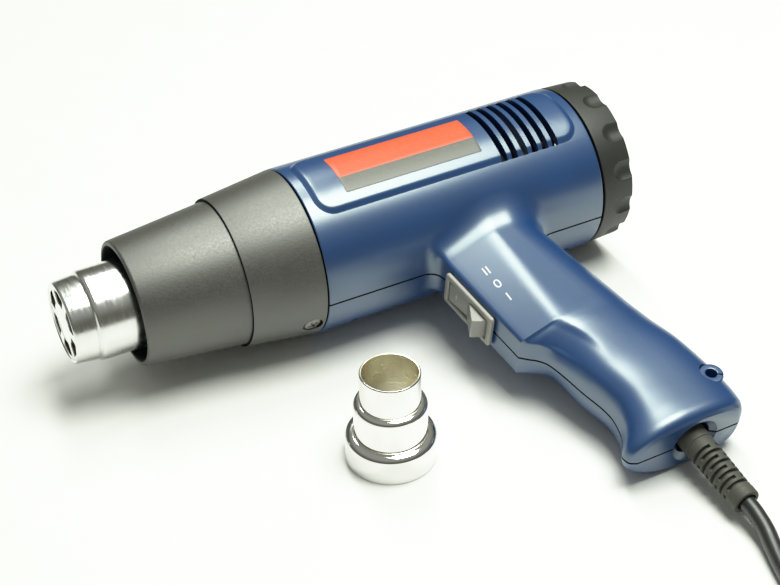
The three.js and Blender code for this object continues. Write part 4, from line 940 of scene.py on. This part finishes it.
class TOOLPARTS_OT_switch(Operator):
    """Rocker switch in its frame"""

    bl_idname = "toolparts.switch"
    bl_label = "Switch"

    def execute(self, context):
        grey = moulded("switch_plastic", tint("switch"), 0.42, grain=1800, depth=0.00005, spread=0.06)
        long, wide = 16.5, 7.8
        layers = [
            (0, -0.8), (0, -1.9), (0.25, -2.3), (0.6, -2.45), (1.0, -2.5), (2.1, -2.5), (2.45, -2.3), (2.55, -1.6),
            (2.6, 8),
        ]
        rings = [[(x, y, z) for y, z in rounded_box(14.6, 6.7, 0.4)] for x in (8.6, -0.8)]
        for inset, x in layers:
            ring = rounded_box(long - inset * 1.15, wide - inset, max(1.6 - inset * 0.5, 0.3))
            rings.append([(x, y, z) for y, z in ring])
        piece("switch_frame", loft(rings), grey, ["switch_body"], place=TOOL @ SWITCH)
        self.rocker(grey)
        return {"FINISHED"}

    def rocker(self, grey):
        """Rocker with two slopes and a valley, its end towards the butt raised."""
        ends, half, valley, rest_turn = 13.2, 4.9, 2.6, math.radians(-13)
        arc = [(ends * math.cos(math.radians(a)), ends * math.sin(math.radians(a))) for a in range(-8, 29, 3)]
        side = [(0, valley)] + [(-u, v) for u, v in reversed(arc)] + arc
        bm = bmesh.new()
        face = bm.faces.new([bm.verts.new((-v, u, -half)) for u, v in side])
        lifted = bmesh.ops.extrude_face_region(bm, geom=[face])["geom"]
        bmesh.ops.translate(
            bm, verts=[g for g in lifted if isinstance(g, bmesh.types.BMVert)], vec=(0, 0, 2 * half))
        bmesh.ops.recalc_face_normals(bm, faces=bm.faces[:])
        edges = [e for e in bm.edges if e.calc_face_angle(0) > 0.5]
        bmesh.ops.bevel(
            bm, geom=edges, offset=0.45, offset_type="OFFSET", segments=3, profile=0.5, affect="EDGES",
            material=-1)
        pivot = SWITCH @ Matrix.Translation((1, 0, 0)) @ Matrix.Rotation(rest_turn, 4, "Z")
        piece("switch_key", bm, grey, ["switch_rocker"], "rocker", TOOL @ pivot)
        pale = printed("key_mark", (0.6, 0.6, 0.57), 0.5)
        slope = math.atan2(6.2 - valley, 11.65)
        for k, (at, long) in enumerate(((7.2, 1.5), (-7.2, 0.6))):
            bm = rod(long, (-0.02, 0, 0), (0.05, 0, 0), 24)
            if k == 0:
                bmesh.ops.scale(bm, vec=(1, 0.22, 1), verts=bm.verts[:])
            spot = Matrix.Translation((-valley - abs(at) * math.tan(slope) - 0.02, at, 0))
            turn = Matrix.Rotation(math.copysign(slope, at), 4, "Z")
            piece(f"key_mark_{k + 1}", bm, pale, (), "rocker", TOOL @ pivot @ spot @ turn)


class TOOLPARTS_OT_cord_entry(Operator):
    """Ribbed sleeve where the cord comes in, and the hanging eyelet"""

    bl_idname = "toolparts.cord_entry"
    bl_label = "Cord entry"

    def execute(self, context):
        soft = moulded("relief_rubber", tint("relief"), 0.62, grain=1500, strength=0.35, depth=0.00007, spread=0.08,
                       specular=0.35)
        root, tip = BUTT - 9.2, BUTT + RELIEF_LENGTH
        rows, pitch, width, first = 8, 2.75, 1.5, BUTT + 7.4
        bore, thick, thin = 3.7, 6.2, 5.5
        slot_r, slot_turn, bridge = 4.1, 1.83, 0.26
        path = [(root, bore), (root, thick), (BUTT + 1.5, thick), (BUTT + 2.7, 6.15), (BUTT + 2.9, 5.8),
                (BUTT + 3.6, 5.8), (BUTT + 3.8, 6.1)]
        for k in range(rows):
            x0 = first + k * pitch
            for x in (x0, x0 + 0.05, x0 + width - 0.05, x0 + width):
                path.append((x, along(x, BUTT, thick, tip, thin)))
        path += [(tip - 4.4, 5.55), (tip - 4.2, 5.75), (tip - 0.7, 5.75), (tip - 0.2, 5.5), (tip, 5.0),
                 (tip - 0.05, 4.3), (tip - 0.5, 4.0), (tip - 6, 3.9), (tip - 6, bore)]
        bm = turned(path, 96)
        for vert in bm.verts:
            x, y, z = vert.co
            r = math.hypot(y, z)
            k = int((x - first) // pitch)
            inside = first + k * pitch + 0.02 < x < first + k * pitch + width - 0.02
            if 0 <= k < rows and inside and r > 4.5:
                a = (math.atan2(z, y) + k * math.pi / 2 + slot_turn) % math.pi
                if bridge < a < math.pi - bridge:
                    vert.co = (x, y * slot_r / r, z * slot_r / r)
        down = Matrix.Translation((CORD_X, 0, 0)) @ Matrix.Rotation(-math.pi / 2, 4, "Z")
        piece("cord_sleeve", moved(bm, down), soft, ["strain_relief"], sharp=30)
        blue = bpy.data.materials["blue_plastic"]
        slit, foot = math.radians(14), 4
        section = [
            (foot, EYELET_BORE, 0), (EYELET_TOP, EYELET_BORE, 0.5), (EYELET_TOP, EYELET_R, 0.6), (foot, EYELET_R, 0)]
        ring = turned(filleted(section, True, 4), 60, math.tau - slit)
        upright = Matrix.Translation((EYELET_X, -EYELET_D, 0)) @ Matrix(
            ((0, 1, 0, 0), (0, 0, 1, 0), (1, 0, 0, 0), (0, 0, 0, 1)))
        turn = Matrix.Rotation(math.radians(-35) + slit / 2, 4, "X")
        piece("hanging_ring", moved(ring, upright @ turn), blue, ["hanging_eyelet"])
        return {"FINISHED"}


class TOOLPARTS_OT_reducer(Operator):
    """Stepped chrome reducer standing on the table"""

    bl_idname = "toolparts.reducer"
    bl_label = "Reducer"

    def execute(self, context):
        low, high = box_mm("reducer_nozzle")
        x, y = (low.x + high.x) / 2, (low.y + high.y) / 2
        chrome = bright_metal(
            "reducer_chrome", (0.86, 0.85, 0.84), 0.08, stretch=(1, 1, 0.2), scale=120, strength=0.008)
        # Inside faces: metal whose warm beige tint is a painted reflection
        inner = bright_metal(
            "reducer_inside", (0.93, 0.88, 0.72), 0.34, stretch=(1, 1, 6), scale=160, strength=0.008)
        foot, mid, top, tall = 18.55, 14.75, 12.1, 42.2
        quarter = [(math.sin(a), math.cos(a)) for a in (math.radians(9 * k) for k in range(11))]
        outside = [(0, foot - 0.3, 0), (0.4, foot, 0.3)]
        outside += [(10 + 3 * up, mid + 0.4 + (foot - mid - 0.4) * out, 0) for up, out in quarter]
        outside += [(12.8, mid + 0.12, 0), (13.4, mid, 0)]
        outside += [(25.7 + 2.5 * up, top + 0.35 + (mid - top - 0.35) * out, 0) for up, out in quarter]
        outside += [(28, top + 0.1, 0), (28.5, top, 0), (tall - 0.4, top, 0.3), (tall, top - 0.35, 0.2)]
        inside = [
            (tall - 0.1, top - 0.85, 0), (27.6, top - 0.9, 0.6), (26.4, mid - 1, 0.8), (12.8, mid - 0.9, 0.6),
            (10, foot - 0.95, 0.8), (0, foot - 0.9, 0),
        ]
        upright = Matrix.Translation((x, y, 0)) @ Matrix.Rotation(-math.pi / 2, 4, "Y")
        shell = moved(turned(filleted(outside + inside), 144), upright)

        def within(middle, normal):
            """Faces that look towards the reducer's axis, which get the painted reflection."""
            return normal.x * (middle.x - x) + normal.y * (middle.y - y) < -2

        piece("reducer_shell", shell, chrome, ["reducer_nozzle"], "reducer", TABLE, second=(inner, within))
        return {"FINISHED"}


# Cord, in millimetres on the table

def past_sleeve(reach):
    """Point straight ahead of the cord's sleeve."""
    return TOOL @ Vector((CORD_X, -BUTT - RELIEF_LENGTH - reach, 0)) * 1000


def cord_points():
    """Route of the whole cord: the stretch seen, the coil in two layers, and the tail."""
    tip = past_sleeve(0.3)
    shift = Vector((tip.x, tip.y, 0))
    route = [
        (-0.3, -6.8, 7.65), (-1.2, -12.8, 6.5), (-2.9, -18.8, 5.3), (-5, -25.8, 4.3), (-7, -32.8, 3.8),
        (-8.7, -40.3, 3.6), (-9.8, -47.8, 3.9), (-10.2, -55.3, 4.5)]
    tail = [
        (89.4, -54.8, 12.6), (89.3, -45.8, 11.6), (89, -35.8, 10), (88.7, -26.8, 8.6), (88.5, -18.8, 7.9),
        (88.5, -12.1, 7.5)]
    middle, pitch, inner, outer, low, rise = Vector((39.6, -69.8, 0)), 7.6, 27, 49.8, 5.2, 7.7
    turns, per_turn, climb = 3, 24, 12

    def at(r, turn, z):
        a = math.pi + math.tau * turn
        return middle + Vector((r * math.cos(a), r * math.sin(a), z))

    coil = [middle + Vector((-outer, 7, low))]
    layer = [i / per_turn for i in range(turns * per_turn + 1)]
    coil += [at(outer - pitch * turn, turn, low) for turn in layer]
    for t in (i / climb for i in range(1, climb)):
        coil.append(at(inner - 1.2 * math.sin(math.pi * t), turns + t / 2, low + rise * eased(t)))
    coil += [at(inner + pitch * turn, turns + 0.5 + turn, low + rise) for turn in layer]
    coil.append(middle + Vector((outer, 7, low + rise)))
    table = [Vector(p) for p in route] + coil + [Vector(p) for p in tail]
    return [past_sleeve(0), past_sleeve(3.8)] + [p + shift for p in table]


class TOOLPARTS_OT_cord(Operator):
    """Mains cord with its tie and plug"""

    bl_idname = "toolparts.cord"
    bl_label = "Cord"

    def execute(self, context):
        black = moulded("cord_sheath", tint("cord"), 0.36, grain=2200, strength=0.04, depth=0.00003, spread=0.2)
        points = cord_points()
        curve = bpy.data.curves.new("mains_cord", "CURVE")
        curve.dimensions = "3D"
        curve.bevel_depth = size("cord_diameter") / 2000
        curve.bevel_resolution = 6
        curve.resolution_u = 5
        curve.use_fill_caps = True
        spline = curve.splines.new("BEZIER")
        spline.bezier_points.add(len(points) - 1)
        for spot, point in zip(spline.bezier_points, points):
            spot.co = point / 1000
            spot.handle_left_type = spot.handle_right_type = "AUTO"
        cord = bpy.data.objects.new("mains_cord", curve)
        context.scene.collection.objects.link(cord)
        curve.materials.append(black)
        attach(cord, "tool")
        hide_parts("cord_run", "cord_coil", "cord_tail")
        tie = self.tie()
        plug = self.plug(points[-1])
        size("cord_diameter") / 1000
        return {"FINISHED"}

    def tie(self):
        """Band round the coil."""
        low, high = box_mm("coil_tie")
        grey = moulded("tie_plastic", (0.02, 0.02, 0.021), 0.4, grain=1200, strength=0.3)
        middle = (low + high) / 2
        u, v = (high.y - low.y) / 2, (high.z - low.z) / 2
        half = (high.x - low.x) / 2
        outer, inner = rounded_box(u, v, 4.5), rounded_box(u - 1.1, v - 1.1, 3.4)
        rings = []
        for ring, w in ((outer, 0.3 - half), (outer, half - 0.3), (inner, half - 0.3), (inner, 0.3 - half)):
            rings.append([(middle.x + w, middle.y + a, middle.z + b) for a, b in ring])
        bm = loft([*rings, rings[0]], False)
        return piece("cord_tie", bm, grey, ["coil_tie"], "tool", TABLE)

    def plug(self, end):
        """Moulded plug with grip ridges and two round pins."""
        sections = [(0, 5.2, 5.2), (4, 5.3, 5.3), (9, 6, 5.8), (13, 9.4, 6.5), (17, 13.5, 7.2), (24, 16, 7.4),
                    (31, 17.2, 7.5), (34, 17, 7.3), (35, 16.2, 6.6)]
        rest = 7.5
        half_width, half_height = through(sections, 1), through(sections, 2)
        rings = []
        for i in range(71):
            at = i / 2
            ridge = 0.35 * max(0, math.sin(at * 2.1)) if 1 < at < 9 else 0
            ridge -= 0.45 * max(0, math.sin((at - 19) * 1.6)) if 19 < at < 31 else 0
            wide, tall = half_width(at) + ridge, min(half_height(at) + min(ridge, 0), rest)
            ring = []
            for k in range(64):
                a = math.tau * k / 64
                bend = [math.copysign(abs(t) ** 0.8, t) for t in (math.cos(a), math.sin(a))]
                ring.append((end.x + wide * bend[0], end.y + 0.3 + at, rest + tall * bend[1]))
            rings.append(ring)
        matte = moulded("plug_plastic", tint("cord"), 0.45, grain=1400, strength=0.3, spread=0.2)
        made = [piece("plug_grip", loft(rings), matte, ["plug_body"], "tool", TABLE)]
        steel = bright_metal("pin_metal", (0.72, 0.71, 0.68), 0.22, stretch=(30, 1, 30), scale=60)
        for k in (1, 2):
            low, high = box_mm(f"plug_pin_{k}")
            reach = high.y - low.y
            section = filleted([(0, 0, 0), (0, 2.4, 0), (reach, 2.4, 1.6), (reach, 0, 0)], False, 6)
            forward = aimed(((low.x + high.x) / 2, low.y, (low.z + high.z) / 2), (0, 1, 0))
            made.append(piece(
                f"plug_pin_round_{k}", moved(turned(section, 32), forward), steel,
                [f"plug_pin_{k}"], "tool", TABLE))
        return made


class TOOLPARTS_OT_inside(Operator):
    """Finishes on the solids that show only through openings"""

    bl_idname = "toolparts.inside"
    bl_label = "Inside"

    def execute(self, context):
        steel = bright_metal("inner_metal", (0.5, 0.5, 0.51), 0.4, scale=700)
        finishes = {
            "screw_steel": steel,
            "inner_steel": steel,
            "mica": moulded(
                "mica_sheet", (0.42, 0.34, 0.22), 0.45, grain=500, strength=0.3, depth=0.0001, spread=0.2),
            "ceramic": moulded(
                "ceramic_body", (0.68, 0.64, 0.55), 0.7, grain=900, strength=0.4, depth=0.0001, spread=0.1),
            "inner_plastic": moulded("inner_black", (0.012, 0.012, 0.013), 0.6, grain=900),
            "board": moulded("board_green", (0.03, 0.13, 0.06), 0.5, grain=700),
            "brass": bright_metal("brass_tab", (0.6, 0.45, 0.2), 0.3, scale=700),
            "cord": bpy.data.materials["cord_sheath"],
            "blue_housing": bpy.data.materials["blue_plastic"],
        }
        slots = {row["node"]: row["material_slot"] for row in frame["record"]["subparts"]}
        for name, node in frame["nodes"].items():
            finish = finishes.get(slots.get(name))
            if finish:
                node.data.materials.clear()
                node.data.materials.append(finish)
        return {"FINISHED"}


class TOOLPARTS_OT_stage(Operator):
    """Pale floor, soft studio light and the camera"""

    bl_idname = "toolparts.stage"
    bl_label = "Stage"

    def execute(self, context):
        scene = context.scene
        side = size("floor_side") / 2000
        bm = bmesh.new()
        bmesh.ops.create_grid(bm, x_segments=2, y_segments=2, size=side)
        floor = mesh_object("floor", bm)
        floor.data.materials.append(moulded(
            "table_top", tint("floor"), 0.55, grain=400, strength=0.02, depth=0.00003, spread=0.01, specular=0.3))
        self.light("key", (0.28, -0.11, 1.2), (0.28, -0.11, 0.0), (0.68, 0.69), 18)
        self.light("back", (0.17, 0.66, 1.14), (0.0, 0.0, 0.03), (0.2, 0.6), 6)
        self.room(scene)
        self.tone(scene)
        self.camera(scene)
        return {"FINISHED"}

    def tone(self, scene):
        """Plain view with a soft shoulder, so that the pale floor keeps its shadows."""
        view = scene.view_settings
        view.view_transform = "Standard"
        view.use_curve_mapping = True
        mapping, white = view.curve_mapping, 1.35
        mapping.white_level = (white, white, white)
        combined = mapping.curves[3]
        for level, shown in ((0.3, 0.3), (0.6, 0.6), (0.85, 0.82), (1.05, 0.93), (1.25, 0.985)):
            combined.points.new(level / white, shown)
        mapping.update()

    def room(self, scene):
        """Even light from a pale ceiling, with dimmer walls below it."""
        world = scene.world or bpy.data.worlds.new("studio")
        scene.world = world
        world.use_nodes = True
        nodes, links = world.node_tree.nodes, world.node_tree.links
        coord = nodes.new("ShaderNodeTexCoord")
        apart = nodes.new("ShaderNodeSeparateXYZ")
        ramp = nodes.new("ShaderNodeValToRGB")
        wall, ceiling = ramp.color_ramp.elements
        wall.position, wall.color = 0.4, (0.2, 0.2, 0.165, 1)
        ceiling.position, ceiling.color = 0.72, (0.5, 0.52, 0.47, 1)
        links.new(coord.outputs["Generated"], apart.inputs["Vector"])
        links.new(apart.outputs["Z"], ramp.inputs["Fac"])
        links.new(ramp.outputs["Color"], nodes["Background"].inputs["Color"])
        nodes["Background"].inputs["Strength"].default_value = 0.6

    def light(self, name, place, target, sides, power):
        """Soft rectangular light."""
        data = bpy.data.lights.new(name, "AREA")
        data.shape = "RECTANGLE"
        data.size, data.size_y = sides
        data.energy = power
        data.color = (0.95, 1, 0.9)
        lamp = bpy.data.objects.new(name, data)
        lamp.location = place
        aim = Vector(target) - Vector(place)
        lamp.rotation_euler = aim.to_track_quat("-Z", "Y").to_euler()
        bpy.context.scene.collection.objects.link(lamp)

    def camera(self, scene):
        """Camera at the photograph's angle."""
        data = bpy.data.cameras.new("photo_view")
        data.lens, data.sensor_width = 73.86, 36
        data.shift_x, data.shift_y = -0.0239, 0.0330
        cam = bpy.data.objects.new("photo_view", data)
        turn, lift, roll = (math.radians(a) for a in (-28.4519, 37.6683, -0.3771))
        back = Vector((math.sin(turn) * math.cos(lift), -math.cos(turn) * math.cos(lift), math.sin(lift)))
        right = Vector((math.cos(turn), math.sin(turn), 0))
        up = back.cross(right)
        tilted = (right * math.cos(roll) + up * math.sin(roll), up * math.cos(roll) - right * math.sin(roll))
        level = Matrix((*tilted, back))
        cam.matrix_world = Matrix.Translation((-0.248282, -0.438415, 0.434901)) @ level.transposed().to_4x4()
        scene.collection.objects.link(cam)
        scene.camera = cam


OPERATORS = (
    TOOLPARTS_OT_stage, TOOLPARTS_OT_cord, TOOLPARTS_OT_housing, TOOLPARTS_OT_guard, TOOLPARTS_OT_outlet,
    TOOLPARTS_OT_rear_cap, TOOLPARTS_OT_switch, TOOLPARTS_OT_cord_entry, TOOLPARTS_OT_reducer,
    TOOLPARTS_OT_inside,
)


class TOOLPARTS_PT_panel(Panel):
    """Sidebar list of the operators, sizes and colours"""

    bl_idname = "TOOLPARTS_PT_panel"
    bl_label = "Hot Air Tool"
    bl_space_type = "VIEW_3D"
    bl_region_type = "UI"
    bl_category = "Hot Air Tool"

    def draw(self, context):
        for operator in OPERATORS:
            self.layout.operator(operator.bl_idname)
        for group in (context.scene.hot_air_sizes, context.scene.hot_air_colours):
            box = self.layout.box()
            for name in group.__annotations__:
                box.prop(group, name)


CLASSES = (HotAirSizes, HotAirColours, *OPERATORS, TOOLPARTS_PT_panel)


def register():
    for cls in CLASSES:
        bpy.utils.register_class(cls)
    bpy.types.Scene.hot_air_sizes = PointerProperty(type=HotAirSizes)
    bpy.types.Scene.hot_air_colours = PointerProperty(type=HotAirColours)


def unregister():
    del bpy.types.Scene.hot_air_colours
    del bpy.types.Scene.hot_air_sizes
    for cls in reversed(CLASSES):
        bpy.utils.unregister_class(cls)


def main():
    """Builds everything."""
    register()
    bpy.ops.toolparts.stage()
    bpy.ops.toolparts.cord()
    bpy.ops.toolparts.housing()
    bpy.ops.toolparts.guard()
    bpy.ops.toolparts.outlet()
    bpy.ops.toolparts.rear_cap()
    bpy.ops.toolparts.switch()
    bpy.ops.toolparts.cord_entry()
    bpy.ops.toolparts.reducer()
    bpy.ops.toolparts.inside()


if __name__ == "__main__":
    main()
